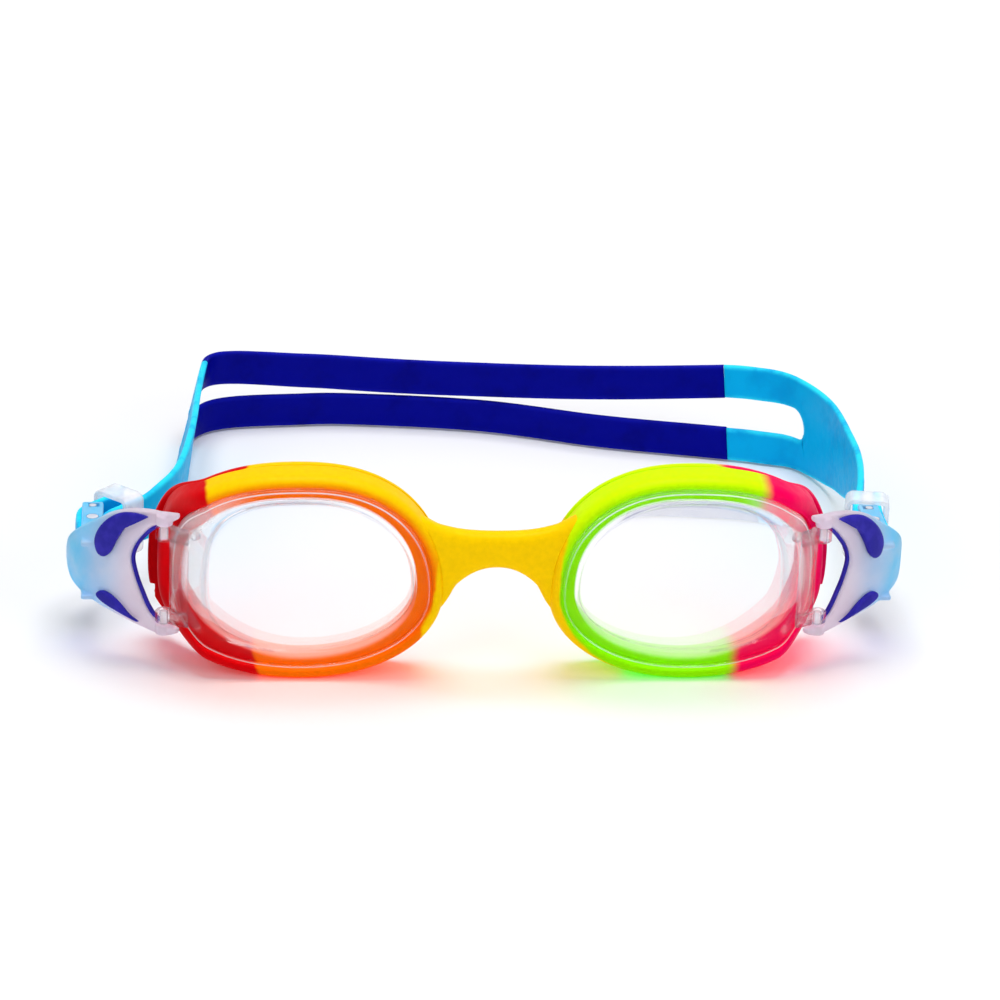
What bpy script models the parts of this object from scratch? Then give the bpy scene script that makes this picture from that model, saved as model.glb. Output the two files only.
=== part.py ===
"""Child's swim goggles: two clear lenses in a soft frame, side clips with squeeze grips, and a split strap.

The goggles stand on their rims with the strap lying behind them. +X is to the right as seen from the front,
+Y runs from the lenses to the back of the strap, +Z is up. The origin is under the object's middle.
"""

import math

import bmesh
import bpy
from mathutils import Matrix, Vector

MM = 0.001
SIDES = {"left": -1, "right": 1}
GAP = 0.3 * MM  # between pieces that touch on the real goggles

# Eyepieces: an outline that is round at the nose and squarer at the temple
FRONT_Y = -63.9 * MM  # the lens faces' front plane
EYE_CENTRE_X = 35.6 * MM
EYE_LEVEL = 17.0 * MM  # height of the widest level
EYE_HALF_WIDTH = 23.5 * MM
EYE_UP = 20.4 * MM
EYE_DOWN = 14.7 * MM
# How square the outline is, above and below its widest level: at the nose, then at the temple for the lens's
# edge, for the opening and for the seal
NOSE_POWERS = (2.25, 2.05)
EDGE_POWERS = (2.9, 2.4)
OPENING_POWERS = (2.8, 1.7)
SEAL_POWERS = (2.4, 3.0)
CROWN_DEPTH = 1.2 * MM  # how far the lens bows back towards the temple
CROWN_HALF = 20.0 * MM
TURN_START = 17.0 * MM  # where the temple side turns back
TURN_LENGTH = 8.0 * MM
TURN_DEPTH = 7.0 * MM
AROUND = 48

RIM_OUT = 2.5 * MM  # how far the rim stands out round the lens
RIM_SHELF = 2.4 * MM  # the ledge that the lens sits on
RIM_BACK = 6.5 * MM
LENS_THICK = 2.0 * MM
GASKET_FRONT = RIM_BACK + GAP
GASKET_BACK = 9.4 * MM
GASKET_DEEPER = 3.0 * MM  # added to its depth at the temple
GASKET_FLARE = 3.2 * MM  # added to its reach at the temple
OPENING_DROP = 1.4 * MM  # how much lower the opening reaches than the lens's even border
OPENING_LOWER = 1.7 * MM  # the same at the seal's lip
SEAL_DROP = 3.0 * MM  # how much lower the seal's outside reaches
SEAL_NOTCH = (61.7 * MM, 8.7 * MM, 12.2 * MM)  # where it starts, and its lower and upper level

# Nose bridge
BRIDGE_LEVEL_TOP = 28.4 * MM
BRIDGE_RISE = 1.9 * MM
BRIDGE_LEVEL_BOTTOM = 21.3 * MM
BRIDGE_DROP = 5.6 * MM
BRIDGE_FRONT = 0.6 * MM
BRIDGE_THICK = 4.4 * MM
BRIDGE_AROUND = 20

# Hinge between lens and clip: a vertical line of two short pins
HINGE_X = 60.4 * MM
HINGE_Y = FRONT_Y + 6.0 * MM
# Plan of the lens's lug as far as the hinge: along its front, then back along its rear
LUG_FRONT = ((56.0, 2.6), (58.4, 4.1), (59.4, 4.75))
LUG_REAR = ((59.2, 7.1), (58.0, 6.0), (57.2, 5.1), (56.0, 4.6))
PIN_RADIUS = 0.7 * MM
PIN_CLEARANCE = 0.12 * MM
KNUCKLE_RADIUS = 1.6 * MM
UPPER_LUG = (25.3 * MM, 27.9 * MM)
UPPER_KNUCKLE = (28.2 * MM, 30.2 * MM)
LOWER_LUG = (9.0 * MM, 11.4 * MM)
LOWER_KNUCKLE = (6.7 * MM, 8.7 * MM)

# Clip: a fork in plan and outline, written for the right side, along its length from the hinge and in height
CLIP_PLAN = ((60.8, 5.2), (63.6, 7.6), (67.6, 9.8), (73.0, 12.8), (77.4, 17.6), (78.9, 23.5))
CLIP_START = -3.2
CLIP_TOP = ((-3.2, 31.6), (0.0, 30.1), (5.0, 29.6), (8.0, 29.1), (14.0, 26.6), (18.5, 23.6), (22.5, 20.8),
            (25.0, 18.4))
CLIP_BOTTOM = ((-3.2, 7.9), (0.0, 6.8), (3.5, 6.6), (8.0, 7.4), (12.0, 8.5), (16.5, 9.9), (21.0, 11.6),
               (25.0, 14.0))
WINDOW_TOP = ((-3.2, 30.6), (0.0, 28.7), (2.0, 28.3), (3.2, 27.1), (4.6, 25.6), (6.3, 23.0), (7.2, 20.0))
WINDOW_BOTTOM = ((-3.2, 8.6), (2.0, 8.6), (3.1, 9.4), (4.6, 12.4), (6.0, 15.8), (7.2, 20.0))
WINDOW_END = 7.2
CLIP_END = 25.0
CLIP_THICK = 1.8 * MM
TRIM_RADIUS = 0.45 * MM
TRIM_INSET = 0.95  # in mm, from the window's edge to the bead's middle

# Squeeze grips, as stretches of the clip's outer face
UPPER_GRIP_TOP = ((2.8, 29.5), (6.5, 29.3), (10.2, 28.3), (12.8, 26.4), (14.2, 23.8))
UPPER_GRIP_BOTTOM = ((2.8, 28.9), (6.5, 27.7), (9.0, 24.4), (10.4, 21.2), (12.4, 19.6), (14.2, 21.2))
LOWER_GRIP_TOP = ((5.0, 8.4), (7.0, 9.7), (10.2, 12.1), (12.2, 12.9), (13.8, 12.2))
LOWER_GRIP_BOTTOM = ((5.0, 7.8), (7.0, 8.4), (11.0, 9.6), (13.8, 11.2))
GRIP_THICK = 1.1 * MM

# Strap end: the strap turns round a bar that two tabs of the clip hold, beside the pawl that grips its ribs
BAR_X = 73.6 * MM
BAR_Y = FRONT_Y + 25.5 * MM
BAR_RADIUS = 1.4 * MM
BAR_END_RADIUS = 1.1 * MM
TAB_TOP = (20.6 * MM, 21.6 * MM)
TAB_BOTTOM = (10.0 * MM, 11.0 * MM)
TAB_FRONT = FRONT_Y + 14.6 * MM
TAB_BACK = FRONT_Y + 32.6 * MM
TAB_HALF_WIDTH = 2.0 * MM
PAWL_Y = FRONT_Y + 30.9 * MM
PAWL_LENGTH = 2.6 * MM
PAWL_HALF_WIDTH = 0.9 * MM
PAWL_TRAVEL = 0.45 * MM  # room for it to slide away from the tail's ribs
TOOTH_RADIUS = 0.35 * MM
TEETH = (2.2 * MM, 1.2 * MM)  # in front of its axle

# Strap: flat strip stood on edge along a plan route, (x, y behind the front), for its upper and lower edges
STRAP_THICK = 1.3 * MM
STRAP_REF_HEIGHT = 20.0
WRAP_RADIUS = 2.35 * MM
UPPER_ROUTE = (
    (71.25, 25.5), (71.3, 31.0), (72.6, 38.0), (74.6, 46.0), (76.3, 57.5), (76.8, 69.0), (75.9, 90.0),
    (70.3, 104.6), (62.5, 109.4), (53.0, 111.2), (32.0, 115.9), (7.7, 123.8), (-20.0, 127.2), (-33.0, 126.8),
    (-45.0, 125.2), (-50.0, 121.5), (-51.5, 113.0), (-53.0, 95.0), (-55.0, 70.0), (-57.8, 51.0),
    (-62.2, 41.0), (-68.0, 34.4), (-71.0, 30.4), (-71.25, 25.5),
)
LOWER_ROUTE = (
    (71.25, 25.5), (71.3, 31.0), (72.6, 38.0), (74.8, 46.0), (76.5, 57.2), (77.1, 68.4), (76.8, 88.4),
    (72.6, 101.6), (64.8, 105.6), (54.4, 108.6), (32.0, 114.3), (7.3, 123.0), (-20.0, 126.6), (-33.0, 126.0),
    (-46.3, 124.0), (-53.0, 119.4), (-56.0, 110.0), (-57.6, 93.0), (-57.2, 70.0), (-58.2, 51.0),
    (-62.2, 41.0), (-68.0, 34.4), (-71.0, 30.4), (-71.25, 25.5),
)
RIGHT_TAIL = ((76.9, 42.0), (76.3, 36.0), (75.95, 31.0), (75.95, 25.5))
LEFT_TAIL = ((-67.8, 41.2), (-71.8, 37.4), (-75.7, 32.4), (-75.95, 25.5))
YOKE_LENGTH = 96.0  # from the bar to where the colour changes
SLOT_START = 77.5
NECK_TOP = ((0.0, 20.3), (14.0, 20.3), (24.0, 21.4), (40.0, 21.0), (62.0, 20.5), (96.0, 20.4))
NECK_BOTTOM = ((0.0, 11.3), (14.0, 11.3), (30.0, 10.6), (40.0, 8.4), (50.0, 5.6), (60.0, 3.2), (68.0, 1.4),
               (76.0, 0.4), (82.0, 0.2), (96.0, 0.2))
SLOT_TOP = ((77.5, 10.2), (78.4, 12.2), (80.5, 13.3), (84.0, 13.5), (96.0, 13.4))
SLOT_BOTTOM = ((77.5, 10.2), (78.4, 8.2), (80.5, 7.3), (84.0, 7.1), (96.0, 7.0))
LEFT_ARM_SINK = 2.2  # how much lower the upper arm lies by the left corner
SINK_START = 50.0
BAND_TOP = ((0.0, 20.4), (22.0, 18.2), (48.0, 15.5), (76.0, 15.6), (108.0, 18.2))
BAND_BOTTOM = ((0.0, 13.4), (22.0, 10.9), (48.0, 8.0), (76.0, 8.0), (108.0, 11.2))
LOWER_BAND_HEIGHT = 7.2
BAND_LIFT = 0.2
BAND_STEP = 2.5
YOKE_STEP = 3.0

# Keeper: a loop round the neck and the tail
KEEPER_WALL = 1.0 * MM
KEEPER_LENGTH = 5.0 * MM
KEEPER_WIDTH = 8.4 * MM
KEEPER_HEIGHT = 12.4 * MM
KEEPER_LEVEL = 15.8 * MM
KEEPER_PLACES = {"left": ((-68.8, 36.9), (0.68, 0.73)), "right": ((74.2, 35.8), (0.15, 0.99))}


def collection(name):
    made = bpy.data.collections.new(name)
    bpy.context.scene.collection.children.link(made)
    return made


def material(name, colour, roughness, alpha=1.0):
    made = bpy.data.materials.new(name)
    made.use_nodes = True
    shader = made.node_tree.nodes["Principled BSDF"]
    shader.inputs["Base Color"].default_value = (*colour, 1.0)
    shader.inputs["Roughness"].default_value = roughness
    shader.inputs["Metallic"].default_value = 0.0
    shader.inputs["Alpha"].default_value = alpha
    return made


def add(name, points, faces, finish):
    """A mesh object from points in metres, smooth except at its sharp edges."""
    mesh = bpy.data.meshes.new(name)
    mesh.from_pydata([tuple(p) for p in points], [], faces)
    mesh.validate()
    obj = bpy.data.objects.new(name, mesh)
    PARTS.objects.link(obj)
    mesh.materials.append(finish)
    face_out(mesh)
    mesh.shade_smooth()
    mesh.set_sharp_from_angle(angle=math.radians(40))
    return obj


def face_out(mesh):
    """Triangles that all face outwards, which Booleans cut cleanly."""
    shape = bmesh.new()
    shape.from_mesh(mesh)
    bmesh.ops.recalc_face_normals(shape, faces=shape.faces)
    bmesh.ops.triangulate(shape, faces=shape.faces)
    if shape.calc_volume(signed=True) < 0:
        bmesh.ops.reverse_faces(shape, faces=shape.faces)
    shape.to_mesh(mesh)
    shape.free()


def at(points, x):
    """The height of a line through (x, value) points, flat beyond its ends."""
    if x <= points[0][0]:
        return points[0][1]
    for (x0, v0), (x1, v1) in zip(points, points[1:]):
        if x <= x1:
            return v0 + (v1 - v0) * (x - x0) / (x1 - x0)
    return points[-1][1]


def smooth_step(value):
    value = min(max(value, 0.0), 1.0)
    return value * value * (3 - 2 * value)


class Path:
    """A smooth plan curve through its points, read by the length along it."""

    def __init__(self, points, steps=12):
        points = [Vector(p) for p in points]
        ends = [2 * points[0] - points[1], *points, 2 * points[-1] - points[-2]]
        self.line = []
        for a, b, c, d in zip(ends, ends[1:], ends[2:], ends[3:]):
            for i in range(steps):
                t = i / steps
                self.line.append(0.5 * (2 * b + (c - a) * t + (2 * a - 5 * b + 4 * c - d) * t * t
                                        + (3 * b - a - 3 * c + d) * t ** 3))
        self.line.append(points[-1])
        self.lengths = [0.0]
        for p, q in zip(self.line, self.line[1:]):
            self.lengths.append(self.lengths[-1] + (q - p).xy.length)
        self.length = self.lengths[-1]

    def point(self, length):
        if length <= 0:
            return self.line[0] + (self.line[1] - self.line[0]).normalized() * length
        for i, end in enumerate(self.lengths[1:]):
            if length <= end or i == len(self.line) - 2:
                start = self.lengths[i]
                return self.line[i].lerp(self.line[i + 1], (length - start) / (end - start))


def in_front(x, y):
    """A plan point written in mm behind the front, in metres."""
    return Vector((x * MM, FRONT_Y + y * MM))


# ---- eyepieces ----

def turn_back(out):
    """How far back the face of an eyepiece lies at this distance from its middle towards the temple."""
    bow = CROWN_DEPTH * max(out, 0.0) ** 2 / CROWN_HALF ** 2
    return bow + TURN_DEPTH * smooth_step((out - TURN_START) / TURN_LENGTH)


def eye_point(side, angle, grow, depth, scale=1.0, widen=0.0, powers=EDGE_POWERS, drop=0.0):
    """A point `grow` outside the lens's edge and `depth` behind its face. Angle 0 is the temple."""
    c, s = math.cos(angle), math.sin(angle)
    temple = ((1 + c) / 2) ** 2
    power = 2 / (NOSE_POWERS[s < 0] + (powers[s < 0] - NOSE_POWERS[s < 0]) * temple)
    half_height = EYE_UP if s >= 0 else EYE_DOWN + drop
    out = scale * (EYE_HALF_WIDTH + grow + widen * temple) * math.copysign(abs(c) ** power, c)
    up = scale * (half_height + grow) * math.copysign(abs(s) ** power, s)
    height = max(EYE_LEVEL + up, 0.0)
    return Vector((side * (EYE_CENTRE_X + out), FRONT_Y + turn_back(out) + depth, height))


def eye_loop(side, grow, depth, scale=1.0, widen=0.0, deepen=0.0, powers=EDGE_POWERS, drop=0.0):
    """A loop round an eyepiece. Widen and deepen apply in full at the temple, and drop at the bottom."""
    loop = []
    for i in range(AROUND):
        angle = 2 * math.pi * i / AROUND
        temple = ((1 + math.cos(angle)) / 2) ** 2
        loop.append(eye_point(side, angle, grow, depth + temple * deepen, scale, widen, powers, drop))
    return loop


def loft(loops, closed):
    """Points and faces of a skin over loops of equal length. An open skin ends in a point at each end."""
    count = len(loops[0])
    points = [p for loop in loops for p in loop]
    pairs = list(zip(range(len(loops)), range(1, len(loops))))
    if closed:
        pairs.append((len(loops) - 1, 0))
    faces = [
        (a * count + i, a * count + (i + 1) % count, b * count + (i + 1) % count, b * count + i)
        for a, b in pairs for i in range(count)
    ]
    if not closed:
        for first in (0, (len(loops) - 1) * count):
            ring = points[first:first + count]
            points.append(sum(ring, Vector()) / count)
            tip = len(points) - 1
            faces += [(first + i, first + (i + 1) % count, tip) for i in range(count)]
    return points, faces


def rim(name, side, finish):
    even, opening = (EDGE_POWERS, 0.0), (OPENING_POWERS, OPENING_DROP)
    section = (
        (GAP, 0.6 * MM, even), (0.9 * MM, -0.2 * MM, even), (1.9 * MM, 0.2 * MM, even),
        (RIM_OUT, 1.6 * MM, even), (RIM_OUT, RIM_BACK - GAP, even), (RIM_OUT - 0.5 * MM, RIM_BACK, even),
        (-RIM_SHELF, RIM_BACK, opening),
        (-RIM_SHELF, LENS_THICK + GAP, opening), (GAP, LENS_THICK + GAP, even),
    )
    loops = [eye_loop(side, grow, depth, powers=shape[0], drop=shape[1]) for grow, depth, shape in section]
    points, faces = loft(loops, closed=True)
    return add(name, points, faces, finish)


def gasket(name, side, finish):
    """The soft seal: a wall behind the rim that flares to a rounded lip against the face."""
    middle = (GASKET_FRONT + GASKET_BACK) / 2
    flare, deeper = GASKET_FLARE, GASKET_DEEPER
    section = (
        (RIM_OUT - 0.5 * MM, GASKET_FRONT, 0.0, 0.0, EDGE_POWERS, 0.0),
        (1.5 * MM, middle, flare / 2, deeper / 2, SEAL_POWERS, SEAL_DROP / 2),
        (0.9 * MM, GASKET_BACK - 0.9 * MM, flare, deeper, SEAL_POWERS, SEAL_DROP),
        (0.1 * MM, GASKET_BACK, flare - 0.8 * MM, deeper, SEAL_POWERS, SEAL_DROP),
        (-1.5 * MM, GASKET_BACK - 0.3 * MM, 0.0, deeper, OPENING_POWERS, OPENING_LOWER),
        (-2.2 * MM, middle, 0.0, deeper / 2, OPENING_POWERS, OPENING_DROP),
        (-RIM_SHELF, GASKET_FRONT, 0.0, 0.0, OPENING_POWERS, OPENING_DROP),
    )
    loops = [eye_loop(side, grow, depth, 1.0, *shape) for grow, depth, *shape in section]
    points, faces = loft(loops, closed=True)
    obj = add(name, points, faces, finish)
    start, low, high = SEAL_NOTCH
    xs = sorted((side * start, side * (start + 5 * MM)))
    cut(obj, box((xs[0], FRONT_Y, low), (xs[1], FRONT_Y + 30 * MM, high)))
    return obj


def lens(name, side, finish):
    """A clear cup face on the rim's ledge, with a thick temple edge and two drilled lugs for the clip."""
    loops = [
        eye_loop(side, 0, 0.1 * MM, 0.4), eye_loop(side, 0, 0, 0.75), eye_loop(side, -3 * MM, 0),
        eye_loop(side, -0.6 * MM, 0), eye_loop(side, 0, 0.5 * MM), eye_loop(side, 0, LENS_THICK),
        eye_loop(side, -3 * MM, LENS_THICK), eye_loop(side, 0, LENS_THICK, 0.75),
        eye_loop(side, 0, LENS_THICK, 0.4),
    ]
    points, faces = loft(loops, closed=False)
    obj = add(name, points, faces, finish)
    join(obj, lug(side, LOWER_LUG[0], UPPER_LUG[1], False))
    for bottom, top in (UPPER_LUG, LOWER_LUG):
        join(obj, lug(side, bottom, top, True))
        cut(obj, hinge_bore(side, bottom, top))
    return obj


def nose_reach(height, grow):
    """How far from the middle of the goggles an eyepiece's nose side starts at this height."""
    up = height - EYE_LEVEL
    half_height = (EYE_UP if up >= 0 else EYE_DOWN) + grow
    power = NOSE_POWERS[up < 0]
    share = min(abs(up) / half_height, 1.0)
    return EYE_CENTRE_X - (EYE_HALF_WIDTH + grow) * (1 - share ** power) ** (1 / power)


def nose_bridge(finish):
    """Sections that widen towards both rims and end against them."""
    loops = []
    for i in range(-6, 7):
        along = i / 6
        top = BRIDGE_LEVEL_TOP + BRIDGE_RISE * abs(along) ** 3
        bottom = BRIDGE_LEVEL_BOTTOM - BRIDGE_DROP * abs(along) ** 2
        middle, half = (top + bottom) / 2, (top - bottom) / 2
        loop = []
        for j in range(BRIDGE_AROUND):
            angle = 2 * math.pi * j / BRIDGE_AROUND
            c, s = math.cos(angle), math.sin(angle)
            height = middle + half * math.copysign(abs(s) ** 0.75, s)
            depth = BRIDGE_FRONT + BRIDGE_THICK / 2 * (1 - math.copysign(abs(c) ** 0.6, c))
            reach = nose_reach(height, RIM_OUT + 2.5 * GAP)
            loop.append(Vector((along * reach, FRONT_Y + depth, height)))
        loops.append(loop)
    points, faces = loft(loops, closed=False)
    return add("nose_bridge", points, faces, finish)


# ---- solid helpers ----

def box(low, high):
    made = bpy.data.meshes.new("tool")
    shape = bmesh.new()
    centre = (Vector(low) + Vector(high)) / 2
    size = Vector(high) - Vector(low)
    spread = Matrix.Translation(centre) @ Matrix.Diagonal((*size, 1.0))
    bmesh.ops.create_cube(shape, size=1.0, matrix=spread)
    shape.to_mesh(made)
    shape.free()
    return tool(made)


def cylinder(x, y, bottom, top, radius, segments=16):
    made = bpy.data.meshes.new("tool")
    shape = bmesh.new()
    bmesh.ops.create_cone(shape, cap_ends=True, segments=segments, radius1=radius, radius2=radius,
                          depth=top - bottom, matrix=Matrix.Translation((x, y, (top + bottom) / 2)))
    shape.to_mesh(made)
    shape.free()
    return tool(made)


def tool(mesh):
    obj = bpy.data.objects.new("tool", mesh)
    TOOLS.objects.link(obj)
    obj.hide_render = True
    obj.display_type = "WIRE"
    return obj


def combine(obj, other, operation):
    """Applies a Boolean and removes the other object."""
    step = obj.modifiers.new(operation.lower(), "BOOLEAN")
    step.operation = operation
    step.object = other
    bpy.context.view_layer.update()
    result = bpy.data.meshes.new_from_object(obj.evaluated_get(bpy.context.evaluated_depsgraph_get()))
    obj.modifiers.clear()
    obj.data = result
    bpy.data.objects.remove(other)


def join(obj, other):
    combine(obj, other, "UNION")


def cut(obj, other):
    combine(obj, other, "DIFFERENCE")


def publish(obj, name, finish):
    """Makes a tool a part of the model under its own name."""
    TOOLS.objects.unlink(obj)
    PARTS.objects.link(obj)
    obj.name = name
    obj.hide_render = False
    obj.display_type = "TEXTURED"
    obj.data.materials.clear()
    obj.data.materials.append(finish)
    obj.data.shade_smooth()
    obj.data.set_sharp_from_angle(angle=math.radians(40))
    return obj


def lug(side, bottom, top, reaches_hinge):
    """The lens's thick temple edge between two levels, or a round-ended arm from it to the hinge line."""
    end = ((HINGE_X / MM, (HINGE_Y - FRONT_Y) / MM),) if reaches_hinge else ()
    plan = [in_front(*p) for p in (*LUG_FRONT, *end, *LUG_REAR)]
    count = len(plan)
    points = [(side * p.x, p.y, z) for z in (bottom, top) for p in plan]
    faces = [(i, (i + 1) % count, count + (i + 1) % count, count + i) for i in range(count)]
    faces += [tuple(range(count)), tuple(range(count, 2 * count))]
    made = bpy.data.meshes.new("tool")
    made.from_pydata(points, [], faces)
    face_out(made)
    arm = tool(made)
    if reaches_hinge:
        join(arm, cylinder(side * HINGE_X, HINGE_Y, bottom, top, KNUCKLE_RADIUS))
    return arm


def hinge_bore(side, bottom, top):
    return cylinder(side * HINGE_X, HINGE_Y, bottom - MM, top + MM, PIN_RADIUS + PIN_CLEARANCE)


def hinge_pin(name, side, bottom, top, finish):
    return publish(cylinder(side * HINGE_X, HINGE_Y, bottom, top, PIN_RADIUS), name, finish)


# ---- clip ----

def fork(stations, place, top, window_top, window_bottom, bottom, fork_from, fork_until):
    """A sheet in strips between edges: one sheet outside the window's stretch, two arms within it."""
    points, faces, rows = [], [], []
    for s in stations:
        high, low = at(top, s), at(bottom, s)
        if fork_from < s < fork_until:
            inner = (at(window_top, s), at(window_bottom, s))
        else:
            middle = at(window_top, min(max(s, fork_from), fork_until))
            middle = min(max(middle, low + 0.3 * (high - low)), high - 0.3 * (high - low))
            inner = (middle,)
        row = [len(points)]
        points.append(place(s, high))
        for z in inner:
            row.append(len(points))
            points.append(place(s, z))
        row.append(len(points))
        points.append(place(s, low))
        rows.append((row[0], row[1], row[-2], row[-1]))
    for a, b in zip(rows, rows[1:]):
        faces += [(a[0], b[0], b[1], a[1]), (a[2], b[2], b[3], a[3])]
    return points, faces


def strip(stations, place, top, bottom):
    points = [place(s, at(edge, s)) for s in stations for edge in (top, bottom)]
    faces = [(i, i + 2, i + 3, i + 1) for i in range(0, len(points) - 2, 2)]
    return points, faces


def thicken(obj, thickness):
    """Turns a sheet into a closed plate."""
    step = obj.modifiers.new("thickness", "SOLIDIFY")
    step.thickness = thickness
    step.offset = 0.0
    step.use_even_offset = True
    bpy.context.view_layer.update()
    result = bpy.data.meshes.new_from_object(obj.evaluated_get(bpy.context.evaluated_depsgraph_get()))
    obj.modifiers.clear()
    obj.data = result
    face_out(result)


def sheet(name, points, faces, finish, thickness):
    """A plate of this thickness centred on a surface."""
    mesh = bpy.data.meshes.new(name)
    mesh.from_pydata([tuple(p) for p in points], [], faces)
    obj = bpy.data.objects.new(name, mesh)
    PARTS.objects.link(obj)
    thicken(obj, thickness)
    obj.data.materials.append(finish)
    obj.data.shade_smooth()
    obj.data.set_sharp_from_angle(angle=math.radians(40))
    return obj


def clip_place(side, stand_off=0.0):
    """Where a point of the clip's outer face lies, from its length along the plan and its height in mm."""
    path = Path([in_front(*p) for p in CLIP_PLAN])

    def place(s, height):
        here = path.point(s * MM)
        ahead = (path.point(s * MM + 0.2 * MM) - path.point(s * MM - 0.2 * MM)).normalized()
        outward = Vector((ahead.y, -ahead.x))
        here = here + outward * stand_off
        return Vector((side * here.x, here.y, height * MM))

    return place


def spread(start, end, count):
    return [start + (end - start) * i / count for i in range(count + 1)]


def clip_body(name, side, finish):
    stations = spread(CLIP_START, WINDOW_END, 8) + spread(WINDOW_END, CLIP_END, 10)[1:]
    place = clip_place(side, -CLIP_THICK / 2)
    edges = (CLIP_TOP, WINDOW_TOP, WINDOW_BOTTOM, CLIP_BOTTOM)
    points, faces = fork(stations, place, *edges, CLIP_START - 1, WINDOW_END)
    obj = sheet(name, points, faces, finish, CLIP_THICK)
    for bottom, top in (UPPER_KNUCKLE, LOWER_KNUCKLE):
        join(obj, cylinder(side * HINGE_X, HINGE_Y, bottom, top, KNUCKLE_RADIUS))
        cut(obj, hinge_bore(side, bottom, top))
    for bottom, top in (TAB_TOP, TAB_BOTTOM):
        xs = sorted((side * (BAR_X - TAB_HALF_WIDTH), side * (BAR_X + TAB_HALF_WIDTH)))
        join(obj, box((xs[0], TAB_FRONT, bottom), (xs[1], TAB_BACK, top)))
        cut(obj, cylinder(side * BAR_X, BAR_Y, bottom - MM, top + MM, BAR_END_RADIUS + PIN_CLEARANCE))
        reach = PIN_RADIUS + PIN_CLEARANCE
        xs = sorted((side * (BAR_X - reach - PAWL_TRAVEL), side * (BAR_X + reach)))
        cut(obj, box((xs[0], PAWL_Y - reach, bottom - MM), (xs[1], PAWL_Y + reach, top + MM)))
    return obj


def clip_trim(name, side, finish):
    """A soft bead along the window's edge."""
    place = clip_place(side, -CLIP_THICK / 2)
    edge = [Vector(p) for p in (*WINDOW_TOP[2:], *reversed(WINDOW_BOTTOM[1:-1]))]
    route = []
    for before, here, after in zip(edge, edge[1:-1], edge[2:]):
        ahead = (after - before).normalized()
        route.append(here + Vector((ahead.y, -ahead.x)) * TRIM_INSET)
    line = bpy.data.curves.new(name, "CURVE")
    line.dimensions = "3D"
    line.bevel_depth = TRIM_RADIUS
    line.bevel_resolution = 1
    line.use_fill_caps = True
    spline = line.splines.new("POLY")
    spline.points.add(len(route) - 1)
    for knot, (s, height) in zip(spline.points, route):
        knot.co = (*place(s, height), 1.0)
    line.materials.append(finish)
    obj = bpy.data.objects.new(name, line)
    PARTS.objects.link(obj)
    return obj


def grip(name, side, finish, top, bottom):
    stations = spread(top[0][0], top[-1][0], 9)
    points, faces = strip(stations, clip_place(side, GAP + GRIP_THICK / 2), top, bottom)
    return sheet(name, points, faces, finish, GRIP_THICK)


def strap_bar(name, side, finish):
    """The round bar with slimmer ends that sit in the clip's tabs."""
    bar = cylinder(side * BAR_X, BAR_Y, TAB_BOTTOM[1] + GAP, TAB_TOP[0] - GAP, BAR_RADIUS)
    join(bar, cylinder(side * BAR_X, BAR_Y, TAB_BOTTOM[0], TAB_TOP[1], BAR_END_RADIUS))
    return publish(bar, name, finish)


def pawl(name, side, finish):
    """A toothed latch between the two layers of strap, whose ends slide in slots of the clip's tabs."""
    low, high = TAB_BOTTOM[1] + GAP, TAB_TOP[0] - GAP
    block = box((side * BAR_X - PAWL_HALF_WIDTH, PAWL_Y - PAWL_LENGTH, low),
                (side * BAR_X + PAWL_HALF_WIDTH, PAWL_Y + 0.6 * MM, high))
    join(block, cylinder(side * BAR_X, PAWL_Y, TAB_BOTTOM[0], TAB_TOP[1], PIN_RADIUS))
    for back in TEETH:
        tooth_x = side * (BAR_X + PAWL_HALF_WIDTH)
        join(block, cylinder(tooth_x, PAWL_Y - back, low + MM, high - MM, TOOTH_RADIUS, 6))
    return publish(block, name, finish)


def keeper(name, side, finish):
    """A loop of clear plastic round the neck and the tail of the strap."""
    (x, y), ahead = KEEPER_PLACES[name.split("_")[0]]
    length, width, height = KEEPER_LENGTH / 2, KEEPER_WIDTH / 2, KEEPER_HEIGHT / 2
    inner_width, inner_height = width - KEEPER_WALL, height - KEEPER_WALL
    ring = box((-width, -length, -height), (width, length, height))
    cut(ring, box((-inner_width, -length - MM, -inner_height), (inner_width, length + MM, inner_height)))
    turn = math.atan2(-ahead[0], ahead[1])
    centre = in_front(x, y)
    move = Matrix.Translation((centre.x, centre.y, KEEPER_LEVEL))
    ring.data.transform(move @ Matrix.Rotation(turn, 4, "Z"))
    return publish(ring, name, finish)


# ---- strap ----

def route_point():
    """Where a point of the strap lies, from its length along the upper edge and its height in mm."""
    both = [(*in_front(*u), *in_front(*w)) for u, w in zip(UPPER_ROUTE, LOWER_ROUTE)]
    path = Path([Vector(p) for p in both])

    def place(s, height):
        here = path.point(s * MM)
        high, low = Vector(here[:2]), Vector(here[2:])
        across = low.lerp(high, min(max(height / STRAP_REF_HEIGHT, 0.0), 1.0))
        return Vector((across.x, across.y, height * MM))

    return place, path.length / MM


def wrap_points(side, tail):
    """Plan points of the strap's end, from the tip of the tail round the bar to where the neck starts."""
    path = Path([in_front(*p) for p in tail])
    line = [path.point(path.length * i / 5) for i in range(5)]
    for i in range(9):
        angle = math.pi * i / 8
        out, ahead = WRAP_RADIUS * math.cos(angle), WRAP_RADIUS * math.sin(angle)
        line.append(Vector((side * (BAR_X + out), BAR_Y - ahead)))
    return line


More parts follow.
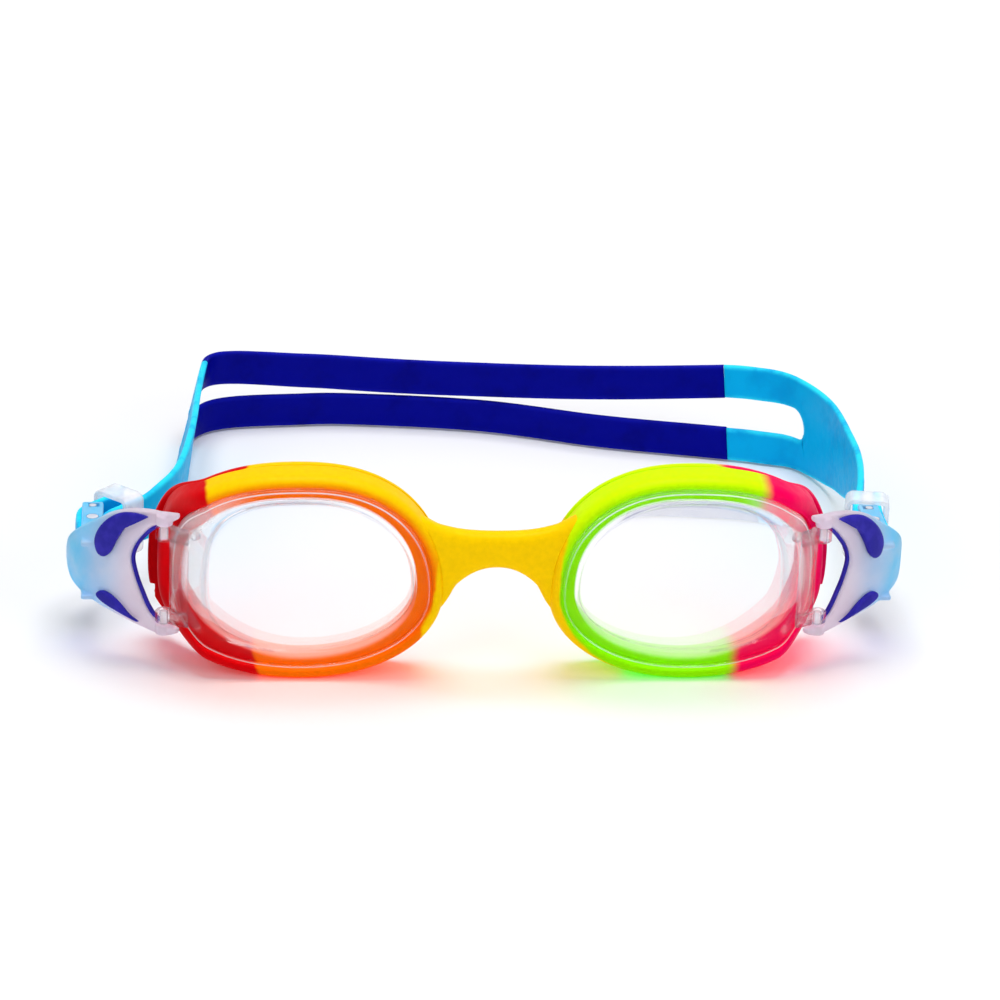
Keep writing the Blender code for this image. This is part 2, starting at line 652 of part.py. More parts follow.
def strap_yoke(name, side, tail, finish):
    """The tail, the turn round the bar, the neck and the slotted yoke, as one piece."""
    place, total = route_point()
    sink = LEFT_ARM_SINK if side < 0 else 0.0

    def lowered(edge):
        shares = [smooth_step((s - SINK_START) / (YOKE_LENGTH - SINK_START)) for s, _ in edge]
        return tuple((s, z - sink * share) for (s, z), share in zip(edge, shares))

    along = (lambda s: total - s) if side < 0 else (lambda s: s)
    stations = spread(0.0, SLOT_START, round(SLOT_START / YOKE_STEP))
    stations += [78.4, 80.5, 84.0, 88.0, 92.0, YOKE_LENGTH]
    points, faces = fork(stations[1:], lambda s, z: place(along(s), z), lowered(NECK_TOP), lowered(SLOT_TOP),
                         SLOT_BOTTOM, NECK_BOTTOM, SLOT_START, YOKE_LENGTH + 1)
    top, bottom = NECK_TOP[0][1], NECK_BOTTOM[0][1]
    middle = top - 0.3 * (top - bottom)
    first = (0, 1, 2)
    for here in reversed(wrap_points(side, tail)):
        row = tuple(range(len(points), len(points) + 3))
        points += [Vector((here.x, here.y, z * MM)) for z in (top, middle, bottom)]
        faces += [(row[0], first[0], first[1], row[1]), (row[1], first[1], first[2], row[2])]
        first = row
    return sheet(name, points, faces, finish, STRAP_THICK)


def strap_band(name, finish, edges):
    """One of the two bands across the back of the head."""
    place, total = route_point()
    start, end = YOKE_LENGTH + GAP / MM, total - YOKE_LENGTH - GAP / MM
    top, bottom = edges
    stations = spread(0.0, end - start, round((end - start) / BAND_STEP))
    stretch = (end - start) / BAND_TOP[-1][0]
    scaled = [tuple((s * stretch, z) for s, z in edge) for edge in (top, bottom)]
    points, faces = strip(stations, lambda s, z: place(start + s, z), *scaled)
    return sheet(name, points, faces, finish, STRAP_THICK)


def hang_on_hinge(word, side, pieces):
    """Hangs the clip's pieces on an empty that stands on the hinge's axis."""
    hinge = bpy.data.objects.new(word + "_clip_hinge", None)
    hinge.location = (side * HINGE_X, HINGE_Y, (LOWER_LUG[0] + UPPER_LUG[1]) / 2)
    hinge.hide_render = True
    TOOLS.objects.link(hinge)
    for piece in pieces:
        piece.parent = hinge
        piece.matrix_parent_inverse = Matrix.Translation(-hinge.location)


def build():
    orange = material("orange_silicone", (1.0, 0.30, 0.0), 0.4)
    red = material("red_silicone", (0.80, 0.01, 0.01), 0.4)
    yellow = material("yellow_silicone", (1.0, 0.62, 0.0), 0.4)
    lime = material("lime_silicone", (0.45, 0.90, 0.0), 0.4)
    pink = material("pink_silicone", (0.95, 0.02, 0.16), 0.4)
    cyan = material("cyan_silicone", (0.0, 0.50, 0.80), 0.45)
    navy = material("navy_silicone", (0.01, 0.02, 0.28), 0.45)
    clear = material("clear_plastic", (0.95, 0.97, 1.0), 0.05, 0.3)
    frosted = material("frosted_plastic", (0.72, 0.72, 0.86), 0.35, 0.7)
    purple = material("purple_rubber", (0.06, 0.04, 0.36), 0.5)
    grey = material("inner_plastic", (0.6, 0.62, 0.66), 0.4)
    nose_bridge(yellow)
    for word, side in SIDES.items():
        first = word == "left"
        rim(word + "_rim", side, orange if first else lime)
        gasket(word + "_gasket", side, red if first else pink)
        lens(word + "_lens", side, clear)
        hinge_pin(word + "_upper_hinge_pin", side, UPPER_LUG[0] + GAP, UPPER_KNUCKLE[1] - GAP, grey)
        hinge_pin(word + "_lower_hinge_pin", side, LOWER_KNUCKLE[0] + GAP, LOWER_LUG[1] - GAP, grey)
        hang_on_hinge(word, side, (
            clip_body(word + "_clip_body", side, frosted),
            clip_trim(word + "_clip_trim", side, purple),
            grip(word + "_upper_grip", side, purple, UPPER_GRIP_TOP, UPPER_GRIP_BOTTOM),
            grip(word + "_lower_grip", side, purple, LOWER_GRIP_TOP, LOWER_GRIP_BOTTOM),
            strap_bar(word + "_strap_bar", side, grey),
            pawl(word + "_pawl", side, grey),
            keeper(word + "_keeper", side, clear),
        ))
        strap_yoke(word + "_strap_yoke", side, LEFT_TAIL if first else RIGHT_TAIL, cyan)
    low_band = tuple((s, LOWER_BAND_HEIGHT) for s, _ in BAND_TOP)
    floor_line = tuple((s, BAND_LIFT) for s, _ in BAND_TOP)
    strap_band("strap_upper_band", navy, (BAND_TOP, BAND_BOTTOM))
    strap_band("strap_lower_band", navy, (low_band, floor_line))


for old in list(bpy.data.objects):
    bpy.data.objects.remove(old)
PARTS = collection("swim_goggles")
TOOLS = collection("tools")
build()
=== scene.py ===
"""A child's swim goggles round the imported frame: soft rims, clear lenses, frosted clips, a split strap."""

import math

import bmesh
import bpy
import numpy as np
from mathutils import Matrix, Vector


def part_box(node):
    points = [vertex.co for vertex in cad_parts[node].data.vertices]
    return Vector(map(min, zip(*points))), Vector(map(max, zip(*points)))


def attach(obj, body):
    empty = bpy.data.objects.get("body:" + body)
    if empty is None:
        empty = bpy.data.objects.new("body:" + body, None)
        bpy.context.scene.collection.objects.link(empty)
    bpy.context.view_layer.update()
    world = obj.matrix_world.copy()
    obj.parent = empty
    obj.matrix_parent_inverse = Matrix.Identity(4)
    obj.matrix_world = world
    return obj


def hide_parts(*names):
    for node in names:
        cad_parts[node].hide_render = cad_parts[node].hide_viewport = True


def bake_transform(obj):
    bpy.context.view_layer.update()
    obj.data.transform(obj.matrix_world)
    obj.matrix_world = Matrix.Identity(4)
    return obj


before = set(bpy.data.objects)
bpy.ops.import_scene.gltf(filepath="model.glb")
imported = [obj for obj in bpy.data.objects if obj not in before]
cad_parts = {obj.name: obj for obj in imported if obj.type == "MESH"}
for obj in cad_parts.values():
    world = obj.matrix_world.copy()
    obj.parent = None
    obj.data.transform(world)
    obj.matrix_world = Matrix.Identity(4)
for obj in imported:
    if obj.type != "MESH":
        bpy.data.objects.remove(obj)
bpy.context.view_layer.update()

MM = 0.001
SIDES = {"left": -1, "right": 1}

# ---- the eyepieces' outline, from the frame ----
LENS_LOW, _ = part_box("right_lens")
RIM_LOW, RIM_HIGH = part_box("right_rim")
FRONT = LENS_LOW.y / MM  # the lens faces' front plane; this and all below are in mm
RIM_OUT = 2.5  # how far the rim stands out round the lens
EYE_X = (RIM_LOW.x + RIM_HIGH.x) / 2 / MM
EYE_WIDTH = (RIM_HIGH.x - RIM_LOW.x) / 2 / MM - RIM_OUT
EYE_LEVEL = 17.0
EYE_UP = RIM_HIGH.z / MM - RIM_OUT - EYE_LEVEL
EYE_DOWN = 14.7
# how square the outline is above and below its widest level: at the nose, then at the temple
NOSE_POWERS = (2.25, 2.05)
EDGE, OPENING, SEAL, FLANGE = (2.9, 2.4), (2.8, 1.7), (2.4, 3.0), (2.55, 2.7)
OPENING_DROP, OPENING_LOWER, SEAL_DROP = 1.4, 1.7, 3.0  # how much lower than the lens each one hangs
SEAL_NOTCH = (62.0, 8.7, 12.2)  # from this far out, between these levels
FRONT_TO_SEAL = 6.55
FACE_BOW, BOW_AT = 1.2, 20.0  # the face lies this far back, at this distance towards the temple
WRAP, WRAP_START, WRAP_LENGTH = 7.0, 17.0, 8.0  # and then it turns back by this much
PEG = (55.0, 27.6)

# ---- the clips and the hinges ----
HINGE_X, HINGE_Y = 60.4, FRONT + 6.0
UPPER_LUG, LOWER_LUG = (25.3, 27.9), (9.0, 11.4)  # levels of the lens's tongues and the clip's knuckles
UPPER_KNUCKLE, LOWER_KNUCKLE = (28.2, 30.2), (6.7, 8.7)
KNUCKLE_SKIN = 0.1  # what the blind bores leave closed
PIN_HOLE = 0.82
KNUCKLE = 1.6

CLIP_PLAN = ((60.8, 5.2), (63.6, 7.6), (67.6, 9.8), (73.0, 12.8), (77.4, 17.6), (78.9, 23.5))
CLIP_THICK = 1.8
TABS = ((20.6, 21.6), (10.0, 11.0))
BAR = (73.6, FRONT + 25.5)
BAR_END = 1.22
PAWL_Y = FRONT + 30.9
PAWL_SLOT = (-1.27, 0.82, 0.82)  # from the bar's line inwards and outwards, and half its length

# ---- the strap, from the middle of the goggles and from the lens faces' front ----

UPPER_ROUTE = (
    (71.25, 25.5), (71.3, 31.0), (72.6, 38.0), (74.6, 46.0), (76.3, 57.5), (76.8, 69.0), (75.9, 90.0),
    (70.3, 104.6), (62.5, 109.4), (53.0, 111.2), (32.0, 115.9), (7.7, 123.8), (-20.0, 127.2), (-33.0, 126.8),
    (-45.0, 125.2), (-50.0, 121.5), (-51.5, 113.0), (-53.0, 95.0), (-55.0, 70.0), (-57.8, 51.0),
    (-62.2, 41.0), (-68.0, 34.4), (-71.0, 30.4), (-71.25, 25.5),
)
LOWER_ROUTE = (
    (71.25, 25.5), (71.3, 31.0), (72.6, 38.0), (74.8, 46.0), (76.5, 57.2), (77.1, 68.4), (76.8, 88.4),
    (72.6, 101.6), (64.8, 105.6), (54.4, 108.6), (32.0, 114.3), (7.3, 123.0), (-20.0, 126.6), (-33.0, 126.0),
    (-46.3, 124.0), (-53.0, 119.4), (-56.0, 110.0), (-57.6, 93.0), (-57.2, 70.0), (-58.2, 51.0),
    (-62.2, 41.0), (-68.0, 34.4), (-71.0, 30.4), (-71.25, 25.5),
)
RIGHT_TAIL = ((76.9, 42.0), (76.3, 36.0), (75.95, 31.0), (75.95, 25.5))
LEFT_TAIL = ((-67.8, 41.2), (-71.8, 37.4), (-75.7, 32.4), (-75.95, 25.5))
YOKE_LENGTH = 96.0  # from the bar to where the colour changes
COLOUR_GAP = 0.17
SLOT_START = 77.5
STRAP_THICK, STRAP_ROUNDING, TURN_RADIUS = 1.3, 0.55, 2.35
BAND_SPAN = 108.0  # the bands' edges are written along this length
KEEPER_WIDTH, KEEPER_HEIGHT, KEEPER_LENGTH, KEEPER_WALL, KEEPER_LEVEL = 8.4, 12.4, 5.0, 1.0, 15.8
KEEPER_PLACES = {"left": ((-68.8, 36.9), (0.68, 0.73)), "right": ((74.2, 35.8), (0.15, 0.99))}


# ---- curves ----

def spline(points, steps=24, closed=False):
    """Points on a smooth curve through the given points."""
    p = np.array(points, float)
    if closed:
        p = np.vstack([p[-1], p, p[0], p[1]])
    else:
        p = np.vstack([2 * p[0] - p[1], p, 2 * p[-1] - p[-2]])
    t = np.linspace(0, 1, steps, endpoint=False)[:, None]
    out = [
        0.5 * (2 * b + (c - a) * t + (2 * a - 5 * b + 4 * c - d) * t**2 + (3 * b - a - 3 * c + d) * t**3)
        for a, b, c, d in zip(p, p[1:], p[2:], p[3:])
    ]
    out = np.vstack(out)
    return out if closed else np.vstack([out, p[-2]])


class Path:
    """A plan curve read by the length along its first two coordinates."""

    def __init__(self, line):
        self.line = np.array(line, float)
        steps = np.linalg.norm(np.diff(self.line[:, :2], axis=0), axis=1)
        self.lengths = np.concatenate([[0], np.cumsum(steps)])
        self.length = self.lengths[-1]

    def at(self, s):
        s = np.asarray(s, float)
        return np.stack([np.interp(s, self.lengths, c) for c in self.line.T], axis=-1)


def curve_at(points, x):
    """A smooth height over x through (x, value) points."""
    line = spline(points, 12)
    return np.interp(x, line[:, 0], line[:, 1])


def smooth_step(v):
    """0 to 1 with level ends."""
    v = np.clip(v, 0.0, 1.0)
    return v * v * (3 - 2 * v)


# ---- meshes ----

def make(name, points, faces, attributes=None, weld=0.0):
    """A mesh object from points in mm, with any float attributes by name."""
    mesh = bpy.data.meshes.new(name)
    mesh.from_pydata((np.asarray(points, float) * MM).tolist(), [], faces)
    for key, values in (attributes or {}).items():
        field = mesh.attributes.new(key, "FLOAT", "POINT")
        field.data.foreach_set("value", np.asarray(values, np.float32).ravel())
    obj = bpy.data.objects.new(name, mesh)
    bpy.context.scene.collection.objects.link(obj)
    shape = bmesh.new()
    shape.from_mesh(mesh)
    if weld:
        bmesh.ops.remove_doubles(shape, verts=shape.verts, dist=weld * MM)
        bmesh.ops.dissolve_degenerate(shape, edges=shape.edges, dist=1e-8)
    bmesh.ops.recalc_face_normals(shape, faces=shape.faces)
    if shape.calc_volume(signed=True) < 0:
        bmesh.ops.reverse_faces(shape, faces=shape.faces)
    shape.to_mesh(mesh)
    shape.free()
    mesh.shade_smooth()
    return obj


def grid_faces(rows, columns, wrap_rows=False, wrap_columns=False):
    """Faces over a grid of points, which can close round on itself either way."""
    faces = []
    for i in range(rows if wrap_rows else rows - 1):
        a, b = i * columns, (i + 1) % rows * columns
        for j in range(columns if wrap_columns else columns - 1):
            k = (j + 1) % columns
            faces.append((a + j, a + k, b + k, b + j))
    return faces


def end_caps(around, total):
    """The first and the last loop of a skin, as faces that close it."""
    return [tuple(range(around)), tuple(range(total - around, total))]


def evaluated(obj):
    """Applies the object's modifiers."""
    bpy.context.view_layer.update()
    mesh = bpy.data.meshes.new_from_object(obj.evaluated_get(bpy.context.evaluated_depsgraph_get()))
    obj.modifiers.clear()
    old = obj.data
    obj.data = mesh
    bpy.data.meshes.remove(old)


def boolean(obj, other, operation):
    """Cuts the other from obj, or joins it, and uses it up."""
    step = obj.modifiers.new("boolean", "BOOLEAN")
    step.operation = operation
    step.object = other
    step.solver = "EXACT"
    evaluated(obj)
    bpy.data.objects.remove(other)


def remesh(obj, voxel, smooth=2, factor=0.5):
    """One skin over everything in the mesh, with its inner corners rounded."""
    step = obj.modifiers.new("remesh", "REMESH")
    step.mode = "VOXEL"
    step.voxel_size = voxel * MM
    step.use_smooth_shade = True
    relax = obj.modifiers.new("relax", "SMOOTH")
    relax.factor = factor
    relax.iterations = smooth
    evaluated(obj)
    obj.data.shade_smooth()


def tube(name, x, y, bottom, top, radius, bevel=0.25):
    """A round post with softened ends, in mm."""
    segments = 40
    profile = [(0.0, bottom), (radius - bevel, bottom), (radius - bevel * 0.3, bottom + bevel * 0.3),
               (radius, bottom + bevel), (radius, top - bevel), (radius - bevel * 0.3, top - bevel * 0.3),
               (radius - bevel, top), (0.0, top)]
    points = [(x + r * math.cos(a), y + r * math.sin(a), z) for r, z in profile[1:-1]
              for a in np.linspace(0, 2 * math.pi, segments, endpoint=False)]
    faces = grid_faces(len(profile) - 2, segments, wrap_columns=True) + end_caps(segments, len(points))
    return make(name, points, faces)


def block(name, low, high, bevel=0.35):
    """A moulded slab with rounded edges, in mm."""
    shape = bmesh.new()
    centre = (Vector(low) + Vector(high)) / 2 * MM
    size = (Vector(high) - Vector(low)) * MM
    bmesh.ops.create_cube(shape, size=1.0, matrix=Matrix.Translation(centre) @ Matrix.Diagonal((*size, 1.0)))
    bmesh.ops.bevel(shape, geom=list(shape.edges), offset=bevel * MM, segments=3, affect="EDGES", profile=0.5)
    mesh = bpy.data.meshes.new(name)
    shape.to_mesh(mesh)
    shape.free()
    obj = bpy.data.objects.new(name, mesh)
    bpy.context.scene.collection.objects.link(obj)
    return obj


def merge(obj, *others):
    """Puts the others' faces into obj's mesh."""
    shape = bmesh.new()
    shape.from_mesh(obj.data)
    for other in others:
        shape.from_mesh(other.data)
        bpy.data.objects.remove(other)
    shape.to_mesh(obj.data)
    shape.free()
    return obj


def across(low, high):
    """Heights from low to high (arrays over stations), crowded near both edges."""
    near, inner = (0.0, 0.03, 0.12, 0.28, 0.5, 0.8), 8
    low, high = np.asarray(low, float), np.asarray(high, float)
    lines = [low + e for e in near]
    for i in range(1, inner):
        lines.append(low + near[-1] + (high - low - 2 * near[-1]) * i / inner)
    lines += [high - e for e in reversed(near)]
    return np.stack(lines, axis=1)


def rounded(distance, half, radius):
    """Half thickness this far from an edge whose corner has this radius."""
    t = np.clip(distance / radius, 0, 1)
    return half * np.sqrt(np.clip(1 - (1 - t) ** 2, 0, 1))


def plate(name, centre, normal, half, attributes=None, parts=None):
    """A closed plate: a grid of points offset both ways by half. Parts are ranges of its columns."""
    rows, columns = centre.shape[:2]
    front = centre + normal * half[..., None]
    back = centre - normal * half[..., None]
    points = np.concatenate([front.reshape(-1, 3), back.reshape(-1, 3)])
    faces = []
    for first, last in parts or [(0, columns)]:
        for i in range(rows - 1):
            for j in range(first, last - 1):
                a, b = i * columns + j, (i + 1) * columns + j
                faces.append((a, a + 1, b + 1, b))
                faces.append(tuple(rows * columns + k for k in (a, b, b + 1, a + 1)))
        for i in (0, rows - 1):
            for j in range(first, last - 1):
                a = i * columns + j
                faces.append((a, a + 1, rows * columns + a + 1, rows * columns + a))
    both = {k: np.concatenate([v.ravel(), v.ravel()]) for k, v in (attributes or {}).items()}
    return make(name, points, faces, both, weld=0.002)


# ---- eyepieces ----

def turn_back(out):
    """How far back the face lies at this distance from the eyepiece's middle towards the temple."""
    bow = FACE_BOW * np.maximum(out, 0) ** 2 / BOW_AT**2
    return bow + WRAP * smooth_step((out - WRAP_START) / WRAP_LENGTH)


def eye(side, angle, grow, depth, scale=1.0, shape=EDGE, drop=0.0, widen=0.0, deepen=0.0, nose_widen=0.0):
    """Points round an eyepiece, grow outside the lens's edge and depth behind its face.

    Angle 0 is the temple. Shape is the outline's powers there. The rest widen it, lower it or push it back.
    """
    c, s = np.cos(angle), np.sin(angle)
    above = s >= 0
    temple, nose = ((1 + c) / 2) ** 2, ((1 - c) / 2) ** 2
    at_nose = np.where(above, *NOSE_POWERS)
    power = 2 / (at_nose + (np.where(above, *shape) - at_nose) * temple)
    height = np.where(above, EYE_UP, EYE_DOWN + drop) + grow + nose_widen * nose
    out = scale * (EYE_WIDTH + grow + widen * temple + nose_widen * nose) * np.sign(c) * np.abs(c) ** power
    up = scale * height * np.sign(s) * np.abs(s) ** power
    z = np.maximum(EYE_LEVEL + up, 0.0)
    return np.stack([side * (EYE_X + out), FRONT + turn_back(out) + depth + deepen * temple, z], axis=-1)


def eye_angles(count):
    """Angles that step evenly along the outline."""
    fine = np.linspace(0, 2 * math.pi, 2001)
    line = eye(1, fine, 0, 0)
    length = np.concatenate([[0], np.cumsum(np.linalg.norm(np.diff(line, axis=0), axis=1))])
    return np.interp(np.linspace(0, length[-1], count, endpoint=False), length, fine)


ANGLES = eye_angles(256)


def ring(name, side, section, steps=5):
    """A ring round an eyepiece, from rows of (grow, depth, shape, drop, widen, deepen, nose_widen)."""
    rows = spline([(*r[:2], *r[2], *r[3:], *(0.0,) * (7 - len(r))) for r in section], steps, closed=True)
    points = np.stack([eye(side, ANGLES, r[0], r[1], 1.0, r[2:4], *r[4:]) for r in rows])
    grow = np.repeat(rows[:, :1], len(ANGLES), axis=1)
    depth = np.repeat(rows[:, 1:2], len(ANGLES), axis=1)
    faces = grid_faces(len(rows), len(ANGLES), wrap_rows=True, wrap_columns=True)
    flat = points.reshape(-1, 3)
    return make(name, flat, faces, colour_fields(side, flat, grow.ravel(), depth.ravel()))


TEMPLE_COLOUR = {-1: (53.2, 42.8), 1: (48.6, 44.0)}  # how far out it starts, at the rim's top and bottom
WIDEST = 15.0  # the level where the nose's crescent and the shading turn


def colour_fields(side, p, grow, depth):
    """Signed distances in mm to where the moulding changes colour, and two fields of painted light: lit, a
    painted highlight on the rim's upper outer face, and pale, painted light on the lower inner wall.
    """
    x, z = np.abs(p[:, 0]), p[:, 2]
    x = x + smooth_step((depth - FRONT_TO_SEAL) / 0.4) * 8.0 * smooth_step((z - 20.0) / 10.0)
    top, bottom = TEMPLE_COLOUR[side]
    edge = bottom + (top - bottom) * np.clip(z / 37.0, 0, 1)
    temple = x - edge
    # the nose's colour runs down the outside of the ring, in a crescent that thins out at both ends
    up = np.clip((z - WIDEST) / (15.5 if side > 0 else 11.0), -1, 1)
    low = np.clip((z - WIDEST) / 15.0, -1, 1)
    share = np.where(z > WIDEST, up, low)
    reach = 2.2 * (1 - np.abs(share) ** 2.2) - 0.3
    nose = grow - (RIM_OUT - reach)
    nose = np.minimum(nose, (24.0 - x) / 3)
    if side < 0:
        nose = np.minimum(nose, (13.4 - x) / 1.2)
    else:
        nose = np.minimum(nose, (31.0 - z) / 2)
    # painted light: lit lightens the upper outer face as if lit from above, pale lightens the lower inner
    # wall that faces up to the lamps
    lit = smooth_step((grow - 0.3) / 1.9) * smooth_step((z - WIDEST) / 14.0)
    pale = smooth_step((-0.9 - grow) / 0.8) * smooth_step((WIDEST - z) / 7.0)
    pale = pale * smooth_step((depth - 2.2) / 1.0)
    return {"temple": temple, "nose": nose, "lit": lit, "pale": pale}


def rim(word):
    """The soft frame round the lens, whose opening is squarer than its outline."""
    inner = (OPENING, OPENING_DROP)
    section = (
        (0.25, 0.9, EDGE), (0.45, 0.15, EDGE), (0.95, -0.18, EDGE), (1.6, -0.02, EDGE), (2.2, 0.75, EDGE),
        (2.46, 1.9, EDGE), (2.5, 3.6, EDGE), (2.5, 5.4, EDGE), (2.42, 6.3, EDGE), (1.7, 6.55, EDGE),
        (0.2, 6.55, EDGE), (-2.0, 6.5, *inner), (-2.38, 6.2, *inner), (-2.42, 4.4, *inner),
        (-2.38, 2.6, *inner), (-2.0, 2.3, *inner), (-0.3, 2.28, EDGE), (0.05, 2.25, EDGE), (0.22, 1.8, EDGE),
    )
    return ring("Soft_rim_" + word, SIDES[word], section, 3)


def gasket(word):
    """The seal: a wall that flares towards the temple, a rounded lip and a notch in its temple edge."""
    side = SIDES[word]
    section = (
        (2.1, 6.75, FLANGE, 0.0, 1.5, 0.0, 0.4), (2.35, 7.1, FLANGE, 0.2, 1.85, 0.1, 0.3),
        (2.35, 7.6, FLANGE, 0.5, 1.8, 0.5, 0.3), (2.15, 8.2, SEAL, 1.2, 1.7, 1.6, 0.3),
        (1.6, 8.8, SEAL, SEAL_DROP - 0.4, 2.3, 2.6, 0.6),
        (0.6, 9.2, SEAL, SEAL_DROP - 0.1, 3.0, 3.0, 0.9), (-0.3, 9.4, SEAL, 2.6, 1.9, 3.0, 0.6),
        (-1.3, 9.2, OPENING, OPENING_LOWER, 0.3, 3.0), (-1.9, 8.7, OPENING, OPENING_LOWER, 0.0, 2.4),
        (-2.2, 8.0, OPENING, OPENING_DROP, 0.0, 1.4), (-2.38, 7.3, OPENING, OPENING_DROP, 0.0, 0.4),
        (-2.3, 6.9, OPENING, OPENING_DROP), (-1.6, 6.74, OPENING, 1.0), (0.2, 6.7, EDGE),
    )
    obj = ring("Face_seal_" + word, side, section, 4)
    start, low, high = SEAL_NOTCH
    xs = sorted((side * start, side * (start + 5)))
    boolean(obj, block("notch", (xs[0], FRONT, low), (xs[1], FRONT + 30, high), 0.25), "DIFFERENCE")
    temple = obj.data.attributes["temple"].data
    for vertex in obj.data.vertices:
        if abs(vertex.co.x) > (start - 1) * MM:
            temple[vertex.index].value = 10.0
    obj.data.shade_smooth()
    obj.data.set_sharp_from_angle(angle=math.radians(50))
    return obj


# (grow, depth, scale, widen, deepen, glint): the face, its edge bead, the flange's back, the back face
LENS_ROWS = (
    (-3.0, 0.16, 0.25), (-3.0, 0.14, 0.5), (-3.0, 0.12, 0.7), (-3.0, 0.1, 0.85), (-3.0, 0.1, 1.0),
    (-2.5, 0.06, 1.0), (-1.8, 0.0, 1.0), (-1.0, 0.02, 1.0), (-0.8, -0.02, 1.0), (-0.62, -0.14, 1.0),
    (-0.46, -0.22, 1.0, 0, 0, 0.15), (-0.34, -0.25, 1.0, 0, 0, 1), (-0.24, -0.24, 1.0, 0, 0, 0.9),
    (-0.13, -0.13, 1.0), (-0.05, 0.02, 1.0), (-0.01, 0.3, 1.0),
    (-0.02, 1.4, 1.0), (-0.12, 1.85, 1.0), (-0.5, 2.0, 1.0), (-1.6, 2.02, 1.0), (-2.3, 2.0, 1.0),
    (-2.5, 2.1, 1.0, 0.0, 0.5), (-2.7, 2.15, 1.0, -0.2, 1.1), (-2.9, 2.1, 1.0, -1.2, 1.25),
    (-3.0, 2.05, 1.0, -2.6, 1.2), (-3.1, 1.95, 1.0, -3.0, 0.9), (-3.2, 1.8, 1.0, -3.15, 0.2),
    (-3.5, 1.75, 1.0, -3.2), (-4.4, 1.74, 1.0, -2.6), (-4.4, 1.74, 0.85, -2.6), (-4.4, 1.74, 0.7, -2.6),
    (-4.4, 1.74, 0.5, -2.6), (-4.4, 1.74, 0.25, -2.6),
)


def lens(word):
    """A clear, bowed face with a bead round its edge and a thick temple side with two lugs."""
    side = SIDES[word]
    rows = [(*r, *(0.0,) * (6 - len(r))) for r in LENS_ROWS]
    points = [eye(side, ANGLES, r[0], r[1], r[2], widen=r[3], deepen=r[4]) for r in rows]
    count = len(ANGLES)
    glint = np.repeat([r[5] for r in rows], count)
    border = np.repeat([float(r[0] > -2.9 and r[2] == 1.0) for r in rows], count)
    points = np.concatenate(points)
    faces = grid_faces(len(rows), count, wrap_columns=True)
    middles = [points[:count].mean(0), points[-count:].mean(0)]
    for i, start in enumerate((0, len(points) - count)):
        faces += [(start + j, start + (j + 1) % count, len(points) + i) for j in range(count)]
    x, z = np.abs(points[:, 0]), points[:, 2]
    # a painted highlight along the edge bead, weaker low down and towards the nose, and a painted reflection
    # that whitens the flange's upper temple corner
    glint *= (0.6 + 0.4 * smooth_step((z - 12.0) / 12.0)) * (1 - 0.7 * smooth_step((20.0 - x) / 8.0))
    painted_reflection = border * smooth_step((x - 43.0) / 9.0) * smooth_step((z - 24.0) / 5.0)
    fields = {"glint": np.append(glint, (0, 0)), "painted_reflection": np.append(painted_reflection, (0, 0))}
    obj = make("Clear_lens_" + word, np.vstack([points, middles]), faces, fields)
    merge(obj, lug(side, LOWER_LUG[0], UPPER_LUG[1], False))
    for bottom, top in (UPPER_LUG, LOWER_LUG):
        arm = lug(side, bottom, top, True)
        boolean(arm, tube("bore", side * HINGE_X, HINGE_Y, bottom - 1, top + 1, PIN_HOLE, 0.01), "DIFFERENCE")
        merge(obj, arm)
    merge(obj, peg(side))
    obj.data.shade_smooth()
    obj.data.set_sharp_from_angle(angle=math.radians(50))
    return obj


def lug(side, bottom, top, reaches_hinge):
    """The lens's thick temple edge between two levels, or a tongue from it that is rounded round the pin."""
    outline = []
    if reaches_hinge:
        for a in np.linspace(-math.pi / 2, math.pi / 2, 17):
            outline.append((HINGE_X + KNUCKLE * math.cos(a), HINGE_Y + KNUCKLE * math.sin(a)))
    edge = ((59.35, 6.9), (59.1, 7.0), (58.0, 6.0), (57.2, 5.1), (56.0, 4.4),
            (56.0, 3.0), (57.4, 3.5), (58.6, 4.15), (59.2, 4.7), (59.45, 5.4))
    outline += [(x, FRONT + y) for x, y in edge]
    if reaches_hinge:  # the ends of the edge would fold back over the round tip
        del outline[-1], outline[17]
    count = len(outline)
    inset = ((0.25, bottom), (0.0, bottom + 0.25), (0.0, top - 0.25), (0.25, top))
    points = []
    centre = np.mean(outline, axis=0)
    for shrink, z in inset:
        for q in outline:
            d = np.array(q) - centre
            q = centre + d * (1 - shrink / np.linalg.norm(d))
            points.append((side * q[0], q[1], z))
    faces = grid_faces(len(inset), count, wrap_columns=True) + end_caps(count, len(points))
    return make("lug", points, faces)


def peg(side):
    """The small round boss near the lens's upper temple corner."""
    x, z = PEG
    out = x - EYE_X
    y = FRONT + float(turn_back(np.array([out]))[0])
    slope = float((turn_back(np.array([out + 0.1])) - turn_back(np.array([out - 0.1])))[0] / 0.2)
    axis = np.array([side * slope, -1.0, 0.0])
    axis /= np.linalg.norm(axis)
    u = np.array([-axis[1], axis[0], 0.0])
    w = np.array([0.0, 0.0, 1.0])
    profile = [(1.05, -0.6), (1.05, 0.25), (0.98, 0.42), (0.8, 0.5), (0.62, 0.46), (0.5, 0.36), (0.25, 0.32)]
    points, segments = [], 28
    for r, h in profile:
        for a in np.linspace(0, 2 * math.pi, segments, endpoint=False):
            points.append(np.array([side * x, y, z]) + axis * h + (u * math.cos(a) + w * math.sin(a)) * r)
    faces = grid_faces(len(profile), segments, wrap_columns=True) + end_caps(segments, len(points))
    return make("peg", points, faces)


def nose_line(z, grow):
    """How far from the goggles' middle the nose side of an eyepiece lies at this height."""
    up = z - EYE_LEVEL
    half = np.where(up >= 0, EYE_UP, EYE_DOWN) + grow
    power = np.where(up >= 0, *NOSE_POWERS)
    share = np.clip(np.abs(up) / half, 0, 1)
    return EYE_X - (EYE_WIDTH + grow) * (1 - share**power) ** (1 / power)


